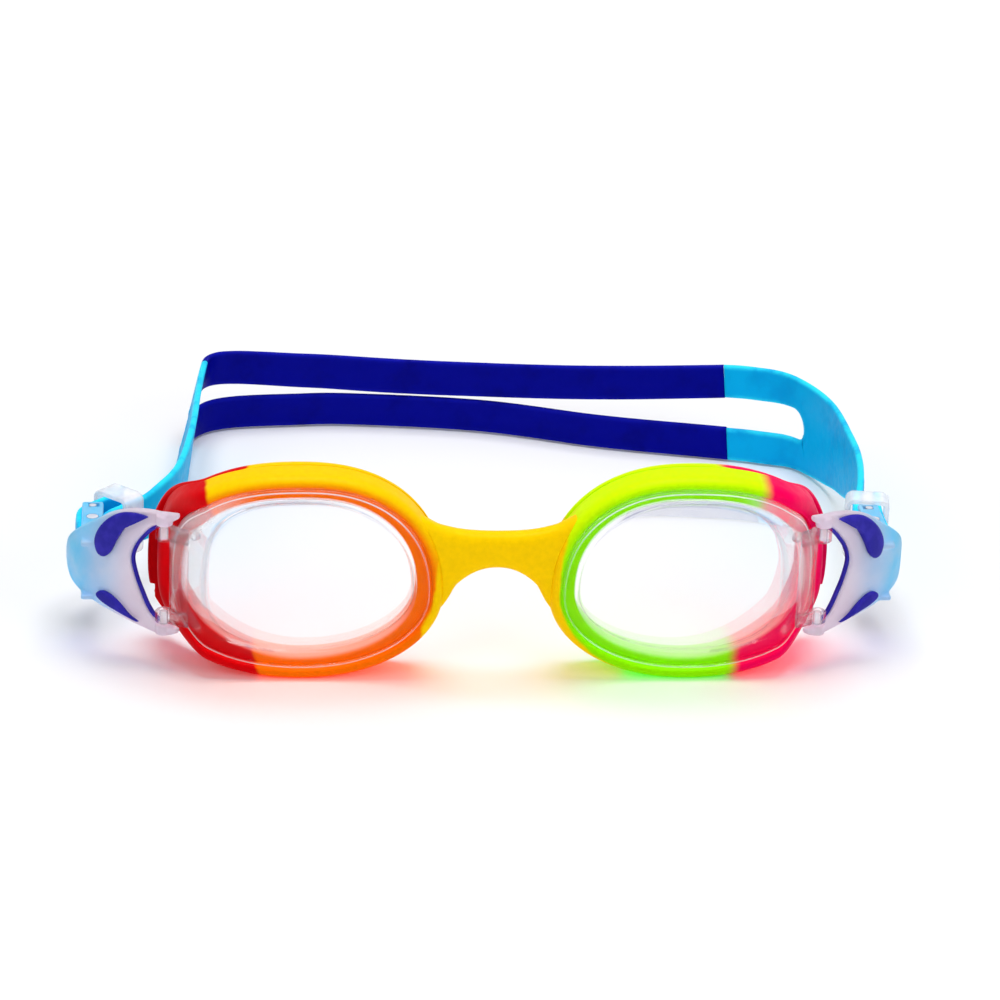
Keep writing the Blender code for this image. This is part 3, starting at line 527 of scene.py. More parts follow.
def bridge():
    """The bridge's skin, which widens smoothly and runs out over both rims."""
    count, around = 97, 40
    points = []
    for along in np.linspace(-1, 1, count):
        f = abs(along)
        top = 28.35 + 2.6 * f**3.2 + 0.9 * smooth_step((f - 0.8) / 0.2)
        bottom = 21.7 - 6.6 * f**2.1 - 2.0 * smooth_step((f - 0.72) / 0.28)
        middle, half = (top + bottom) / 2, (top - bottom) / 2
        for angle in np.linspace(0, 2 * math.pi, around, endpoint=False):
            c, s = math.cos(angle), math.sin(angle)
            z = middle + half * np.sign(s) * abs(s) ** 0.8
            depth = 0.35 + 2.3 * (1 - np.sign(c) * abs(c) ** 0.65) + 0.5 * f * (c < 0)
            reach = nose_line(z, RIM_OUT - 0.35)
            points.append((along * reach, FRONT + depth, z))
    faces = grid_faces(count, around, wrap_columns=True) + end_caps(around, len(points))
    p = np.array(points)
    fields = {"temple": np.full(len(p), -20.0), "nose": np.full(len(p), 5.0)}
    return make("Nose_bridge_skin", p, faces, fields)


# ---- clips ----

CLIP_LINE = Path([(x, FRONT + y) for x, y in spline(CLIP_PLAN, 24)])


def on_clip(side, s, z, stand_off=0.0):
    """A point on the clip's outer face, from its length along the plan and its height."""
    s, z = np.asarray(s, float), np.asarray(z, float)
    on = np.clip(s, 0.3, CLIP_LINE.length - 0.3)
    ahead = CLIP_LINE.at(on + 0.3) - CLIP_LINE.at(on - 0.3)
    ahead /= np.linalg.norm(ahead, axis=-1, keepdims=True)
    outward = np.stack([ahead[..., 1], -ahead[..., 0]], axis=-1)
    here = CLIP_LINE.at(on) + ahead * (s - on)[..., None] + outward * np.asarray(stand_off)[..., None]
    return np.stack([side * here[..., 0], here[..., 1], z + 0 * here[..., 0]], axis=-1)


# from the upper tip round to the lower tip: length along the clip's plan from the hinge, and height
CLIP_OUTLINE = (
    (-3.2, 31.4), (-1.6, 31.1), (0.0, 30.8), (2.0, 30.4), (4.0, 30.1), (8.0, 29.2), (12.0, 27.7),
    (16.0, 25.3), (20.0, 22.8), (23.2, 20.4), (24.8, 18.2), (25.1, 16.0), (24.2, 13.8), (21.0, 11.6),
    (16.5, 9.9), (12.0, 8.5), (8.0, 7.3), (3.5, 6.4), (0.0, 6.4), (-1.6, 6.9), (-3.2, 7.7),
)
CLIP_WINDOW = (
    (-3.2, 30.3), (-1.6, 29.2), (0.0, 28.3), (1.8, 27.8), (3.4, 26.7), (4.9, 25.0), (6.4, 22.8),
    (7.2, 20.0), (6.4, 16.4), (5.2, 13.4), (4.2, 11.2), (3.0, 9.6), (1.8, 9.0), (0.0, 8.8), (-3.2, 8.7),
)


def clip_curves(count):
    """The clip's outer outline and its window's edge, in evenly spaced points."""
    t = np.linspace(0, 1, count)
    made = []
    for line in (CLIP_OUTLINE, CLIP_WINDOW):
        path = Path(spline(line, 16))
        made.append(path.at(t * path.length))
    return made


def clip_dome(s, z):
    """The face leans in towards its upper and lower edges, more so at the outer end."""
    middle = 17.2 - 0.05 * s
    return -0.9 * smooth_step(s / 18.0) * (np.abs(z - middle) / 9.0) ** 2.2


def clip_body(word):
    """The fork from its outline to its window, with the knuckles, and the tabs that hold bar and pawl."""
    side = SIDES[word]
    rows = 120
    outer, inner = clip_curves(rows)
    gap = np.linalg.norm(outer - inner, axis=1)
    near = np.array((0.0, 0.04, 0.14, 0.32, 0.6, 0.95))
    columns = []
    for width in gap:
        a = near / width
        mid = np.linspace(a[-1], 1 - a[-1], 9)[1:-1]
        columns.append(np.concatenate([a, mid, 1 - a[::-1]]))
    t = np.array(columns)
    sz = outer[:, None, :] * (1 - t[..., None]) + inner[:, None, :] * t[..., None]
    edge = np.minimum(t, 1 - t) * gap[:, None]
    tip = np.minimum(np.arange(rows), np.arange(rows)[::-1]) * 0.5 + 0.05
    edge = np.minimum(edge, tip[:, None])
    thick = CLIP_THICK / 2
    dome = clip_dome(sz[..., 0], sz[..., 1])
    centre = on_clip(side, sz[..., 0], sz[..., 1], dome - thick)
    ahead = on_clip(side, sz[..., 0], sz[..., 1], dome - thick + 1.0) - centre
    half = rounded(edge, thick, 0.85)
    body = plate("Clip_" + word, centre, ahead, half)
    pieces = []
    for bottom, top in (UPPER_KNUCKLE, LOWER_KNUCKLE):
        pieces.append(tube("knuckle", side * HINGE_X, HINGE_Y, bottom, top, KNUCKLE))
    for bottom, top in TABS:
        xs = sorted((side * (BAR[0] - 2.0), side * (BAR[0] + 2.0)))
        pieces.append(block("tab", (xs[0], FRONT + 13.2, bottom), (xs[1], FRONT + 32.6, top), 0.3))
    merge(body, *pieces)
    remesh(body, 0.22, 3, 0.5)
    for low, high in ((UPPER_KNUCKLE[0] - 1, UPPER_KNUCKLE[1] - KNUCKLE_SKIN),
                      (LOWER_KNUCKLE[0] + KNUCKLE_SKIN, LOWER_KNUCKLE[1] + 1)):
        boolean(body, tube("bore", side * HINGE_X, HINGE_Y, low, high, PIN_HOLE, 0.01), "DIFFERENCE")
    inwards, outwards, reach = PAWL_SLOT
    for bottom, top in TABS:
        boolean(body, tube("bore", side * BAR[0], BAR[1], bottom - 1, top + 1, BAR_END, 0.01), "DIFFERENCE")
        xs = sorted((side * (BAR[0] + inwards), side * (BAR[0] + outwards)))
        slot_tool = block("slot", (xs[0], PAWL_Y - reach, bottom - 1), (xs[1], PAWL_Y + reach, top + 1), 0.05)
        boolean(body, slot_tool, "DIFFERENCE")
    body.data.shade_smooth()
    body.data.set_sharp_from_angle(angle=math.radians(60))
    return body


def clip_trim(word):
    """A soft bead inside the window's edge, which ends short of the knuckles."""
    side = SIDES[word]
    _, inner = clip_curves(130)
    line = inner[inner[:, 0] > 1.1]
    ahead = np.gradient(line, axis=0)
    ahead /= np.linalg.norm(ahead, axis=1, keepdims=True)
    into = np.stack([ahead[:, 1], -ahead[:, 0]], axis=1)
    if into[len(into) // 2][0] > 0:
        into = -into
    t = np.linspace(0, 1, len(line))
    radius = 0.34 * np.sqrt(np.clip(1 - (2 * t - 1) ** 16, 0.02, 1))
    inset = 0.33 * smooth_step((line[:, 0] - 1.0) / 1.0)
    line = line + into * inset[:, None]
    points = []
    around = 14
    for i in range(len(line)):
        s, z = line[i]
        for a in np.linspace(0, 2 * math.pi, around, endpoint=False):
            aside = radius[i] * math.cos(a)
            level = float(clip_dome(s, z)) - CLIP_THICK / 2 + 1.5 * radius[i] * math.sin(a)
            points.append(on_clip(side, s + into[i][0] * aside, z + into[i][1] * aside, level))
    faces = grid_faces(len(line), around, wrap_columns=True) + end_caps(around, len(points))
    return make("Clip_trim_" + word, np.array(points), faces)


UPPER_PAD = ((3.2, 29.2), (6.2, 29.3), (9.2, 28.6), (11.8, 27.0), (13.6, 24.8), (14.3, 22.4), (13.6, 20.2),
             (12.2, 19.7), (10.8, 20.9), (9.6, 23.4), (7.9, 26.2), (5.6, 28.2))
LOWER_PAD = ((5.2, 8.0), (7.0, 9.0), (9.0, 10.9), (10.8, 12.3), (12.4, 12.8), (13.7, 12.2), (13.7, 11.4),
             (12.0, 10.3), (9.6, 9.3), (7.2, 8.5))


def grip(word, which, outline):
    """A domed soft pad on the clip's outer face."""
    side = SIDES[word]
    rim_line = spline(outline, 10, closed=True)
    middle = rim_line.mean(0)
    levels = ((1.0, 0.28), (1.0, 0.55), (0.985, 0.78), (0.95, 0.95), (0.88, 1.1), (0.75, 1.22), (0.55, 1.3),
              (0.3, 1.34))
    points = []
    for share, height in levels:
        q = middle + (rim_line - middle) * share
        points.append(on_clip(side, q[:, 0], q[:, 1], height + clip_dome(q[:, 0], q[:, 1])))
    points.append(on_clip(side, middle[:1], middle[1:], 1.35 + clip_dome(middle[0], middle[1])).reshape(1, 3))
    count = len(rim_line)
    faces = grid_faces(len(levels), count, wrap_columns=True)
    last = (len(levels) - 1) * count
    tip = len(levels) * count
    faces += [(last + j, last + (j + 1) % count, tip) for j in range(count)]
    for share in (0.75, 0.4):
        q = middle + (rim_line - middle) * share
        points.append(on_clip(side, q[:, 0], q[:, 1], 0.28 + clip_dome(q[:, 0], q[:, 1])))
    points.append(on_clip(side, middle[:1], middle[1:], 0.28 + clip_dome(middle[0], middle[1])).reshape(1, 3))
    a, b = tip + 1, tip + 1 + count
    for first, second in ((0, a), (a, b)):
        for j in range(count):
            k = (j + 1) % count
            faces.append((first + j, first + k, second + k, second + j))
    end = b + count
    faces += [(b + j, b + (j + 1) % count, end) for j in range(count)]
    return make(f"Squeeze_pad_{which}_{word}", np.concatenate(points), faces)


def round_cornered(half_x, half_y, radius_x, radius_y, steps):
    """Round a rectangle with rounded corners: each point and the way out from it."""
    points = []
    for sign_x, sign_y, start in ((1, 1, 0), (-1, 1, 90), (-1, -1, 180), (1, -1, 270)):
        x, y = sign_x * (half_x - radius_x), sign_y * (half_y - radius_y)
        for a in np.radians(np.linspace(start, start + 90, steps)):
            points.append((x + radius_x * math.cos(a), y + radius_y * math.sin(a), math.cos(a), math.sin(a)))
    return points


def keeper(word):
    """A clear moulded loop round the neck and the tail of the strap."""
    (x, y), ahead = KEEPER_PLACES[word]
    ahead = np.array(ahead) / np.linalg.norm(ahead)
    right = np.array([ahead[1], -ahead[0]])
    wall = KEEPER_WALL / 2
    loop = round_cornered(KEEPER_WIDTH / 2 - wall, KEEPER_HEIGHT / 2 - wall, 1.1, 1.1, 9)
    section = round_cornered(wall, KEEPER_LENGTH / 2, 0.22, 0.3, 5)
    points = []
    for lx, lz, nx, nz in loop:
        for off, along, _, _ in section:
            plan = np.array([x, FRONT + y]) + right * (lx + nx * off) + ahead * along
            points.append((plan[0], plan[1], KEEPER_LEVEL + lz + nz * off))
    return make("Strap_keeper_" + word, np.array(points), grid_faces(len(loop), len(section), True, True))


# ---- strap ----

ROUTE = Path(np.hstack([spline(UPPER_ROUTE, 24) + (0, FRONT), spline(LOWER_ROUTE, 24) + (0, FRONT)]))
NECK_TOP = ((0.0, 20.3), (14.0, 20.3), (24.0, 21.4), (40.0, 21.0), (62.0, 20.5), (96.0, 20.4))
NECK_BOTTOM = ((0.0, 11.3), (14.0, 11.3), (30.0, 10.6), (40.0, 8.4), (50.0, 5.6), (60.0, 3.2), (68.0, 1.4),
               (76.0, 0.4), (82.0, 0.2), (96.0, 0.2))
BAND_TOP = ((0.0, 20.4), (22.0, 18.2), (48.0, 15.5), (76.0, 15.6), (108.0, 18.2))
BAND_BOTTOM = ((0.0, 13.4), (22.0, 10.9), (48.0, 8.0), (76.0, 8.0), (108.0, 11.2))


def on_route(s, z):
    """A point on the strap's middle: its length from the right bar and its height."""
    here = ROUTE.at(s)
    share = np.clip(z / 20.0, 0, 1)[..., None]
    plan = here[..., 2:] * (1 - share) + here[..., :2] * share
    return np.concatenate([plan, z[..., None]], axis=-1)


def sideways(points):
    """The level way out of the strap's face, at each point of its grid."""
    ahead = np.gradient(points, axis=0)
    n = np.stack([ahead[..., 1], -ahead[..., 0], 0 * points[..., 2]], axis=-1)
    return n / np.linalg.norm(n, axis=-1, keepdims=True)


def strap_yoke(word):
    """The tail, the turn round the bar, the neck and the slotted yoke, as one moulded piece."""
    side = SIDES[word]
    tail = Path(spline([(x, FRONT + y) for x, y in (LEFT_TAIL if side < 0 else RIGHT_TAIL)], 24))
    turn = [(side * (BAR[0] + TURN_RADIUS * math.cos(a)), BAR[1] - TURN_RADIUS * math.sin(a))
            for a in np.linspace(0, math.pi, 33)]
    lead = Path(np.vstack([tail.line[:-1], turn]))
    stations = [("lead", s) for s in np.arange(0, lead.length - 0.2, 0.7)]
    fine = np.concatenate([
        np.arange(0.0, SLOT_START - 1.6, 0.9),
        SLOT_START - np.array((1.5, 1.1, 0.8, 0.5, 0.3, 0.15, 0.05)),
        SLOT_START + np.array((0.0, 0.05, 0.15, 0.35, 0.6, 1.0, 1.5, 2.1, 2.8)),
        np.arange(SLOT_START + 3.6, YOKE_LENGTH - 0.3, 0.9),
        [YOKE_LENGTH + 0.13],
    ])
    stations += [("route", s) for s in fine]
    s = np.array([v for _, v in stations])
    on_lead = np.array([k == "lead" for k, _ in stations])
    sink = 2.2 if side < 0 else 0.0
    along = np.where(on_lead, s - lead.length, s)
    flat = np.maximum(along, 0.0)
    drop = sink * smooth_step((flat - 50.0) / 46.0)
    top = curve_at(NECK_TOP, flat) - drop
    bottom = curve_at(NECK_BOTTOM, flat)
    # the slot: a rounded end, then parallel edges that open towards the bands
    opened = np.clip((flat - SLOT_START) / 3.2, 0, 1)
    half_slot = 3.25 * np.sqrt(np.clip(1 - (1 - opened) ** 2, 0, 1))
    slot_middle = 10.25 - 0.5 * drop
    slot_top = slot_middle + half_slot * (1 - 0.31 * drop)
    slot_top = np.maximum(slot_top, slot_middle)
    slot_bottom = slot_middle - half_slot
    middle = np.minimum(np.maximum(slot_middle, bottom + 3.0), top - 3.0)
    upper_low = np.where(flat < SLOT_START, middle, slot_top)
    lower_high = np.where(flat < SLOT_START, middle, slot_bottom)
    high = across(upper_low, top)
    low = across(bottom, lower_high)
    z = np.concatenate([low, high], axis=1)
    before_bar = lead.at(s)[:, None, :] + np.zeros((1, z.shape[1], 1))
    before_bar = np.concatenate([before_bar, z[..., None]], axis=-1)
    after_bar = on_route(np.where(side < 0, ROUTE.length - s, s)[:, None] + 0 * z, z)
    plan = np.where(on_lead[:, None, None], before_bar, after_bar)
    to_edge = np.minimum(top[:, None] - z, z - bottom[:, None])
    past = flat[:, None] - SLOT_START
    beside = np.where(z > slot_middle[:, None], z - slot_top[:, None], slot_bottom[:, None] - z)
    slot_gap = np.where(past >= 0, beside, np.hypot(past, np.abs(z - slot_middle[:, None])))
    nose = np.hypot(past - 3.2, (z - slot_middle[:, None])) - 3.25
    slot_gap = np.where(past < 3.2, np.maximum(nose, 0), slot_gap)
    to_edge = np.minimum(to_edge, np.maximum(slot_gap, 0))
    to_edge = np.minimum(to_edge, (along - along[0])[:, None] + 0.0 * z)
    half = rounded(to_edge, STRAP_THICK / 2, STRAP_ROUNDING)
    # a raised bead round the slot's end, a channel down the neck, and ribs on the tail for the pawl
    bead = np.exp(-((slot_gap - 1.5) / 0.5) ** 2) * smooth_step((8.0 - past) / 4.0) * (past > -6)
    half = half + 0.16 * bead * (to_edge > 0.7)
    channel = np.exp(-((z - 16.2) / 1.6) ** 4) * smooth_step((along - 3) / 3)[:, None]
    channel = channel * smooth_step((44 - along) / 6)[:, None]
    half = half - 0.2 * channel * (to_edge > 0.7)
    ribs = (0.5 + 0.5 * np.cos(along * 2 * math.pi / 2.1)) * (along < 24) * (np.abs(along + 3.7) > 4.4)
    inside = smooth_step((to_edge - 1.0) / 0.5)
    half = half + 0.17 * ribs[:, None] * inside
    columns = low.shape[1]
    fields = {"along": np.repeat(along[:, None], z.shape[1], 1), "edge": to_edge, "level": z}
    parts = [(0, columns), (columns, 2 * columns)]
    return plate("Strap_yoke_" + word, plan, sideways(plan), half, fields, parts)


def strap_band(name, top_edge, bottom_edge):
    """One of the two bands across the back of the head."""
    start, end = YOKE_LENGTH + COLOUR_GAP, ROUTE.length - YOKE_LENGTH - COLOUR_GAP
    s = np.linspace(start, end, 150)
    share = (s - start) / (end - start) * BAND_SPAN
    top, bottom = curve_at(top_edge, share), curve_at(bottom_edge, share)
    z = across(bottom, top)
    points = on_route(s[:, None] + 0 * z, z)
    to_edge = np.minimum(top[:, None] - z, z - bottom[:, None])
    half = rounded(to_edge, STRAP_THICK / 2, STRAP_ROUNDING)
    fields = {"along": np.repeat(s[:, None], z.shape[1], 1), "edge": to_edge, "level": z}
    return plate(name, points, sideways(points), half, fields)


# ---- materials ----

class Nodes:
    """Builds a material's node tree in short calls."""

    def __init__(self, name):
        self.material = bpy.data.materials.new(name)
        self.material.use_nodes = True
        self.tree = self.material.node_tree
        self.shader = self.tree.nodes["Principled BSDF"]
        self.output = self.tree.nodes["Material Output"]

    def new(self, kind, **values):
        node = self.tree.nodes.new(kind)
        for key, value in values.items():
            setattr(node, key, value)
        return node

    def link(self, a, b):
        self.tree.links.new(a, b)

    def put(self, socket, value):
        if hasattr(value, "links"):
            self.link(value, socket)
        else:
            socket.default_value = value

    def attribute(self, name):
        return self.new("ShaderNodeAttribute", attribute_name=name).outputs["Fac"]

    def math(self, operation, a, b=0.0, c=0.0):
        node = self.new("ShaderNodeMath", operation=operation)
        for socket, value in zip(node.inputs, (a, b, c)):
            self.put(socket, value)
        return node.outputs[0]

    def ramp(self, value, low, high, to_low=0.0, to_high=1.0):
        node = self.new("ShaderNodeMapRange", interpolation_type="SMOOTHSTEP")
        for socket, v in zip(node.inputs, (value, low, high, to_low, to_high)):
            self.put(socket, v)
        return node.outputs[0]

    def mix(self, factor, a, b):
        node = self.new("ShaderNodeMix", data_type="RGBA")
        self.put(node.inputs[0], factor)
        self.put(node.inputs[6], a)
        self.put(node.inputs[7], b)
        return node.outputs[2]

    def noise(self, scale, detail=3.0, roughness=0.5):
        place = self.new("ShaderNodeTexCoord")
        node = self.new("ShaderNodeTexNoise")
        self.link(place.outputs["Object"], node.inputs["Vector"])
        node.inputs["Scale"].default_value = scale
        node.inputs["Detail"].default_value = detail
        node.inputs["Roughness"].default_value = roughness
        return node.outputs["Fac"]

    def bump(self, height, strength, distance):
        node = self.new("ShaderNodeBump")
        node.inputs["Strength"].default_value = strength
        node.inputs["Distance"].default_value = distance
        self.link(height, node.inputs["Height"])
        self.link(node.outputs[0], self.shader.inputs["Normal"])

    def set(self, **values):
        for key, value in values.items():
            self.put(self.shader.inputs[key.replace("_", " ")], value)


def srgb(r, g, b):
    """A linear colour from screen values of 0 to 255."""
    screen = (r / 255, g / 255, b / 255)
    return (*(c / 12.92 if c <= 0.04045 else ((c + 0.055) / 1.055) ** 2.4 for c in screen), 1.0)


def soft_frame(name, main, main_lit, temple, nose, blend=0.45):
    """Moulded silicone whose colours meet along soft edges, with painted light: a lighter colour on the rim's
    top and a paler lower inner wall.
    """
    n = Nodes(name)
    wobble = n.math("MULTIPLY_ADD", n.noise(260, 2), 1.1, -0.55)
    # painted highlight: the rim's top takes the lighter main_lit colour
    body = n.mix(n.attribute("lit"), main, main_lit)
    at_nose = n.ramp(n.math("ADD", n.attribute("nose"), wobble), -0.35, 0.35)
    body = n.mix(at_nose, body, nose)
    at_temple = n.ramp(n.math("ADD", n.attribute("temple"), wobble), -blend, blend)
    body = n.mix(at_temple, body, temple)
    mottle = n.ramp(n.noise(900, 4, 0.6), 0.3, 0.7, 0.93, 1.0)
    shade = n.new("ShaderNodeHueSaturation")
    n.link(body, shade.inputs["Color"])
    n.link(mottle, shade.inputs["Value"])
    # painted light: the lower inner wall is paled towards a warm white
    pale = n.math("MULTIPLY", n.attribute("pale"), 0.4)
    n.set(Base_Color=n.mix(pale, shade.outputs[0], (1.0, 0.95, 0.9, 1.0)))
    n.set(Roughness=n.ramp(n.noise(500, 3), 0.3, 0.7, 0.34, 0.46))
    n.set(Subsurface_Weight=0.12, Subsurface_Scale=0.0012, Subsurface_Radius=(1.0, 0.6, 0.3))
    n.set(Specular_IOR_Level=0.03)
    n.bump(n.noise(2600, 3, 0.6), 0.12, 0.0001)
    glow(n, n.mix(0.15, body, (1.0, 1.0, 1.0, 1.0)), 0.95)
    return n.material


def silicone(name, face, edge, dark):
    """The strap's silicone, with a painted highlight that lightens it along its edges."""
    n = Nodes(name)
    # painted highlight: the edge colour within about a millimetre of the strap's edges
    body = n.mix(n.ramp(n.attribute("edge"), 0.1, 1.1), edge, face)
    body = n.mix(n.ramp(n.noise(140, 4, 0.6), 0.45, 0.75), body, dark)
    n.set(Base_Color=body, Roughness=n.ramp(n.noise(700, 3), 0.3, 0.7, 0.36, 0.52), Specular_IOR_Level=0.04)
    n.set(Subsurface_Weight=0.1, Subsurface_Scale=0.001, Subsurface_Radius=(0.3, 0.6, 1.0))
    n.bump(n.noise(2200, 4, 0.65), 0.25, 0.00012)
    return n.material


def glow(n, tint, share, surface=None):
    """Lets this share of the lamps' light pass, tinted, so that the piece throws a pale, coloured shadow."""
    path = n.new("ShaderNodeLightPath")
    clear = n.new("ShaderNodeBsdfTransparent")
    n.put(clear.inputs["Color"], tint)
    mix = n.new("ShaderNodeMixShader")
    n.link(n.math("MULTIPLY", path.outputs["Is Shadow Ray"], share), mix.inputs[0])
    n.link(surface or n.shader.outputs[0], mix.inputs[1])
    n.link(clear.outputs[0], mix.inputs[2])
    n.link(mix.outputs[0], n.output.inputs["Surface"])


def clear_plastic(name, tint, roughness, thin, cloud=0.0):
    """Clear plastic: thin is the share that doesn't bend light, cloud its milkiness all over; a white surface
    mixed in where the mesh asks paints highlights and reflections.
    """
    n = Nodes(name)
    n.set(Base_Color=n.mix(n.noise(90, 2), tint, (1.0, 1.0, 1.0, 1.0)), Transmission_Weight=1.0, IOR=1.36)
    n.set(Roughness=n.ramp(n.noise(300, 3), 0.4, 0.7, roughness, roughness + 0.03))
    n.set(Specular_Tint=(0.3, 0.3, 0.3, 1.0))
    plain_way = n.new("ShaderNodeBsdfTransparent")
    plain_way.inputs["Color"].default_value = (0.995, 0.995, 1.0, 1.0)
    glass = n.new("ShaderNodeMixShader")
    n.put(glass.inputs[0], thin)
    n.link(n.shader.outputs[0], glass.inputs[1])
    n.link(plain_way.outputs[0], glass.inputs[2])
    # a white surface for the milkiness and for the painted highlight and reflection
    milk_and_painted_light = n.new("ShaderNodeBsdfDiffuse")
    milk_and_painted_light.inputs["Color"].default_value = (0.96, 0.95, 0.97, 1.0)
    # painted reflection on the lens's temple corner and painted highlight on its edge bead
    painted_reflection = n.math("MULTIPLY", n.attribute("painted_reflection"), n.ramp(n.noise(160, 4), 0.3, 0.7, 0.1, 0.32))
    both = n.new("ShaderNodeMixShader")
    pale = n.math("MAXIMUM", painted_reflection, n.math("MULTIPLY", n.attribute("glint"), 0.8))
    n.link(n.math("MAXIMUM", pale, n.ramp(n.noise(300, 3), 0.3, 0.7, cloud * 0.8, cloud)), both.inputs[0])
    n.link(glass.outputs[0], both.inputs[1])
    n.link(milk_and_painted_light.outputs[0], both.inputs[2])
    glow(n, (0.97, 0.98, 1.0, 1.0), 1.0, both.outputs[0])
    return n.material


def frosted(name):
    """Frosted plastic: lavender by the lens, pale blue at its outer end."""
    n = Nodes(name)
    place = n.new("ShaderNodeTexCoord")
    split = n.new("ShaderNodeSeparateXYZ")
    n.link(place.outputs["Object"], split.inputs[0])
    out = n.math("ABSOLUTE", split.outputs[0])
    tone = n.mix(n.ramp(out, 0.066, 0.0725), srgb(236, 222, 234), srgb(198, 220, 242))
    behind = n.ramp(split.outputs[1], (FRONT + 12) * MM, (FRONT + 16) * MM)
    end = n.math("MAXIMUM", n.ramp(out, 0.0735, 0.0775), behind)
    tone = n.mix(end, tone, srgb(126, 218, 250))
    tone = n.mix(n.ramp(n.noise(220, 3), 0.35, 0.75, 0.0, 0.35), tone, srgb(240, 236, 246))
    n.set(Base_Color=tone, Transmission_Weight=0.4, IOR=1.3, Specular_IOR_Level=0.3)
    n.set(Roughness=n.ramp(n.noise(600, 3), 0.3, 0.7, 0.32, 0.46))
    n.bump(n.noise(1800, 3, 0.6), 0.15, 0.0001)
    glow(n, (0.62, 0.6, 0.78, 1.0), 1.0)
    return n.material


def plain(name, colour, second, roughness):
    """Moulded plastic or rubber, lightly mottled between two colours."""
    n = Nodes(name)
    n.set(Base_Color=n.mix(n.ramp(n.noise(500, 4), 0.35, 0.7), colour, second), Specular_IOR_Level=0.15)
    n.set(Roughness=n.ramp(n.noise(500, 3), 0.3, 0.7, roughness - 0.06, roughness + 0.08))
    n.bump(n.noise(1500, 3), 0.2, 0.0001)
    return n.material


YELLOW = srgb(255, 208, 0)
# the second colour of each rim silicone is its painted highlight for the lit top
LEFT_SOFT = soft_frame("silicone_orange", srgb(252, 118, 0), srgb(255, 204, 0), srgb(216, 0, 10), YELLOW)
RIGHT_SOFT = soft_frame("silicone_lime", srgb(150, 240, 0), srgb(212, 253, 0), srgb(250, 0, 88), YELLOW, 1.5)
BRIDGE_SOFT = soft_frame("silicone_yellow", YELLOW, YELLOW, YELLOW, YELLOW)
SOFT = {"left": LEFT_SOFT, "right": RIGHT_SOFT}
# the second colour of each strap silicone is its painted edge highlight
CYAN = silicone("silicone_cyan", srgb(2, 178, 238), srgb(44, 222, 255), srgb(0, 162, 228))
NAVY = silicone("silicone_navy", srgb(0, 4, 142), srgb(10, 16, 160), srgb(0, 2, 126))
CLEAR = clear_plastic("clear_polycarbonate", (0.98, 0.99, 1.0, 1.0), 0.0, 0.6)
CLEAR_KEEPER = clear_plastic("clear_keeper_plastic", (0.9, 0.95, 1.0, 1.0), 0.12, 0.5, 0.4)
FROSTED = frosted("frosted_plastic")
PURPLE = plain("purple_soft_touch", srgb(34, 28, 150), srgb(48, 40, 168), 0.5)
PALE = plain("pale_moulded_plastic", srgb(196, 200, 214), srgb(214, 218, 228), 0.35)


def dress(obj, material, body, *nodes, slot=None):
    """Gives a piece its material and its body, and hides the nodes it stands for; slot is not used."""
    obj.data.materials.clear()
    obj.data.materials.append(material)
    if body:
        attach(obj, body)
    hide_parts(*nodes)
    return obj


SOFT_SLOTS = {"left": ("orange_silicone", "red_silicone"), "right": ("lime_silicone", "pink_silicone")}
dress(bridge(), BRIDGE_SOFT, "frame", "nose_bridge", slot="yellow_silicone")
for word, side in SIDES.items():
    clip = word + "_clip"
    dress(rim(word), SOFT[word], "frame", word + "_rim", slot=SOFT_SLOTS[word][0])
    dress(gasket(word), SOFT[word], "frame", word + "_gasket", slot=SOFT_SLOTS[word][1])
    dress(lens(word), CLEAR, "frame", word + "_lens", slot="clear_lens")
    dress(clip_body(word), FROSTED, clip, word + "_clip_body", slot="frosted_clip")
    dress(clip_trim(word), PURPLE, clip, word + "_clip_trim", slot="purple_rubber")
    for which, outline in (("upper", UPPER_PAD), ("lower", LOWER_PAD)):
        pad = f"{word}_{which}_grip"
        dress(grip(word, which, outline), PURPLE, pad, pad, slot="purple_rubber")
    dress(keeper(word), CLEAR_KEEPER, word + "_keeper", word + "_keeper", slot="clear_keeper")
    yoke = dress(strap_yoke(word), CYAN, None, word + "_strap_yoke", slot="cyan_silicone")
    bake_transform(yoke)
    for node, finish in (("_upper_hinge_pin", CLEAR_KEEPER), ("_lower_hinge_pin", CLEAR_KEEPER),
                         ("_strap_bar", PALE), ("_pawl", PALE)):
        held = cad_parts[word + node]
        held.data.materials.clear()
        held.data.materials.append(finish)
LOW_BAND = tuple((s, 7.2) for s, _ in BAND_TOP)
FLOOR_LINE = tuple((s, 0.2) for s, _ in BAND_TOP)
for which, top, bottom in (("upper", BAND_TOP, BAND_BOTTOM), ("lower", LOW_BAND, FLOOR_LINE)):
    dress(strap_band("Strap_band_" + which, top, bottom), NAVY, "frame", f"strap_{which}_band",
          slot="navy_silicone")


# ---- stage, light and camera ----

def stage_floor():
    """A white floor that is lit a little from itself away from the goggles, like the photo's."""
    size = 6.0
    mesh = bpy.data.meshes.new("Floor")
    corners = [(-size, -size, 0), (size, -size, 0), (size, size, 0), (-size, size, 0)]
    mesh.from_pydata(corners, [], [(0, 1, 2, 3)])
    obj = bpy.data.objects.new("Floor", mesh)
    bpy.context.scene.collection.objects.link(obj)
    obj.location.z = -0.0001
    n = Nodes("white_sweep")
    far = n.new("ShaderNodeVectorMath", operation="LENGTH")
    n.link(n.new("ShaderNodeTexCoord").outputs["Object"], far.inputs[0])
    n.set(Base_Color=(0.9, 0.9, 0.91, 1.0), Roughness=0.6, Specular_IOR_Level=0.1)
    n.set(Emission_Color=(1.0, 1.0, 1.0, 1.0))
    n.set(Emission_Strength=n.ramp(far.outputs["Value"], 0.1, 0.35, 0.0, 0.6))
    mesh.materials.append(n.material)


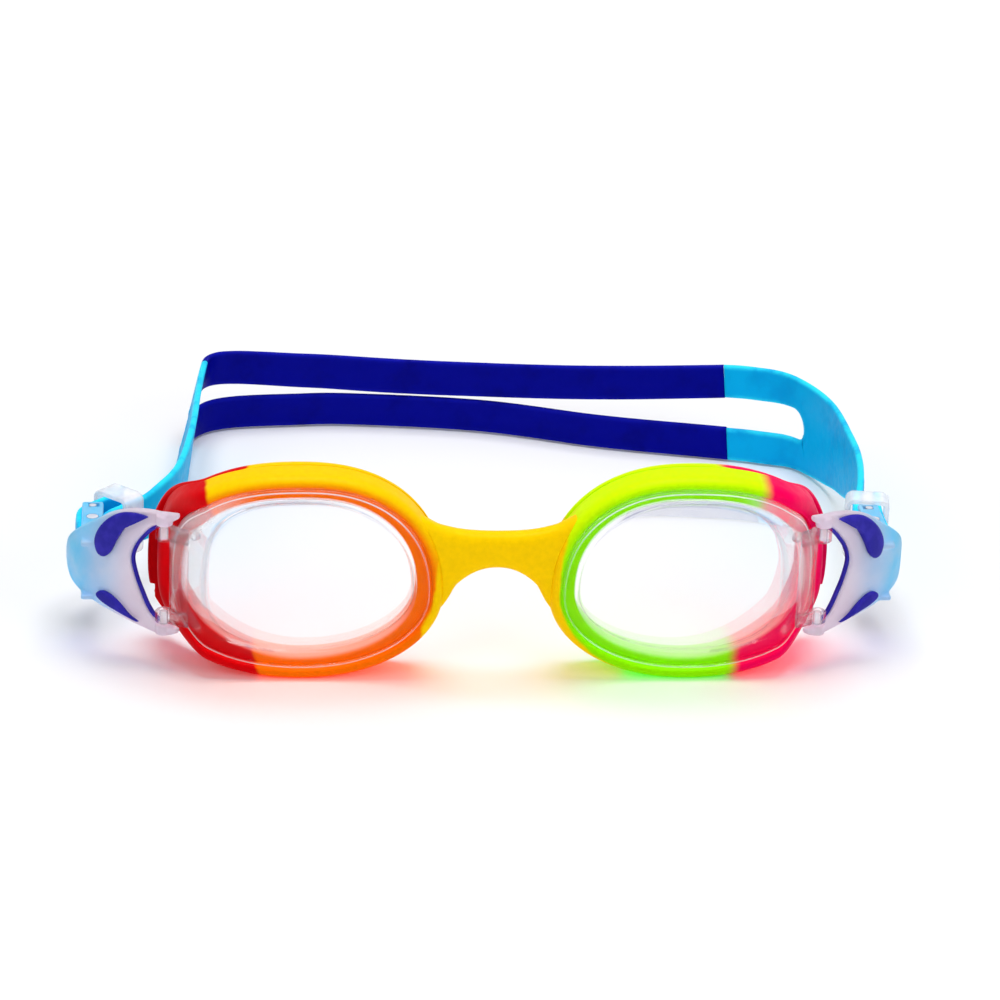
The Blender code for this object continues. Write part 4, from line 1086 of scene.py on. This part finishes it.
def area_light(name, place, aim, size, power):
    lamp = bpy.data.lights.new(name, "AREA")
    lamp.shape = "RECTANGLE"
    lamp.size, lamp.size_y = size
    lamp.energy = power
    obj = bpy.data.objects.new(name, lamp)
    bpy.context.scene.collection.objects.link(obj)
    obj.location = place
    obj.rotation_mode = "QUATERNION"
    obj.rotation_quaternion = (Vector(place) - Vector(aim)).to_track_quat("Z", "Y")


stage_floor()
world = bpy.data.worlds.new("white_studio")
world.use_nodes = True
world.node_tree.nodes["Background"].inputs["Color"].default_value = (1.0, 1.0, 1.0, 1.0)
world.node_tree.nodes["Background"].inputs["Strength"].default_value = 0.38
bpy.context.scene.world = world
area_light("Overhead", (0.03, 0.1, 0.88), (0, 0, 0), (0.6, 0.5), 6.0)
area_light("Front_left", (-0.6, -0.7, 0.6), (0, -0.03, 0.02), (0.5, 0.5), 1.5)
area_light("Front_right", (0.6, -0.7, 0.5), (0, -0.03, 0.02), (0.5, 0.5), 1.5)

# the camera as fitted to the photo: its angles, its distance in metres, its lens and what it looks at
AZIMUTH, ELEVATION, ROLL = math.radians(-5.7), math.radians(22.6), math.radians(2.4)
DISTANCE, FOCAL_LENGTH, LOOK_AT = 0.7, 139.86, Vector((-0.0002, FRONT * MM, 0.0358))
back = Vector((math.sin(AZIMUTH) * math.cos(ELEVATION), -math.cos(AZIMUTH) * math.cos(ELEVATION),
               math.sin(ELEVATION)))
right = Vector((math.cos(AZIMUTH), math.sin(AZIMUTH), 0.0))
up = back.cross(right)
right, up = right * math.cos(ROLL) + up * math.sin(ROLL), up * math.cos(ROLL) - right * math.sin(ROLL)
camera = bpy.data.objects.new("Camera", bpy.data.cameras.new("Camera"))
bpy.context.scene.collection.objects.link(camera)
camera.data.sensor_width = 36.0
camera.data.lens = FOCAL_LENGTH
camera.data.clip_start, camera.data.clip_end = 0.05, 50.0
spot = LOOK_AT + back * DISTANCE
rows = [(right[i], up[i], back[i], spot[i]) for i in range(3)]
camera.matrix_world = Matrix((*rows, (0, 0, 0, 1)))
bpy.context.scene.camera = camera
bpy.context.scene.view_settings.view_transform = "Standard"
bpy.context.scene.view_settings.look = "None"

bpy.context.view_layer.update()
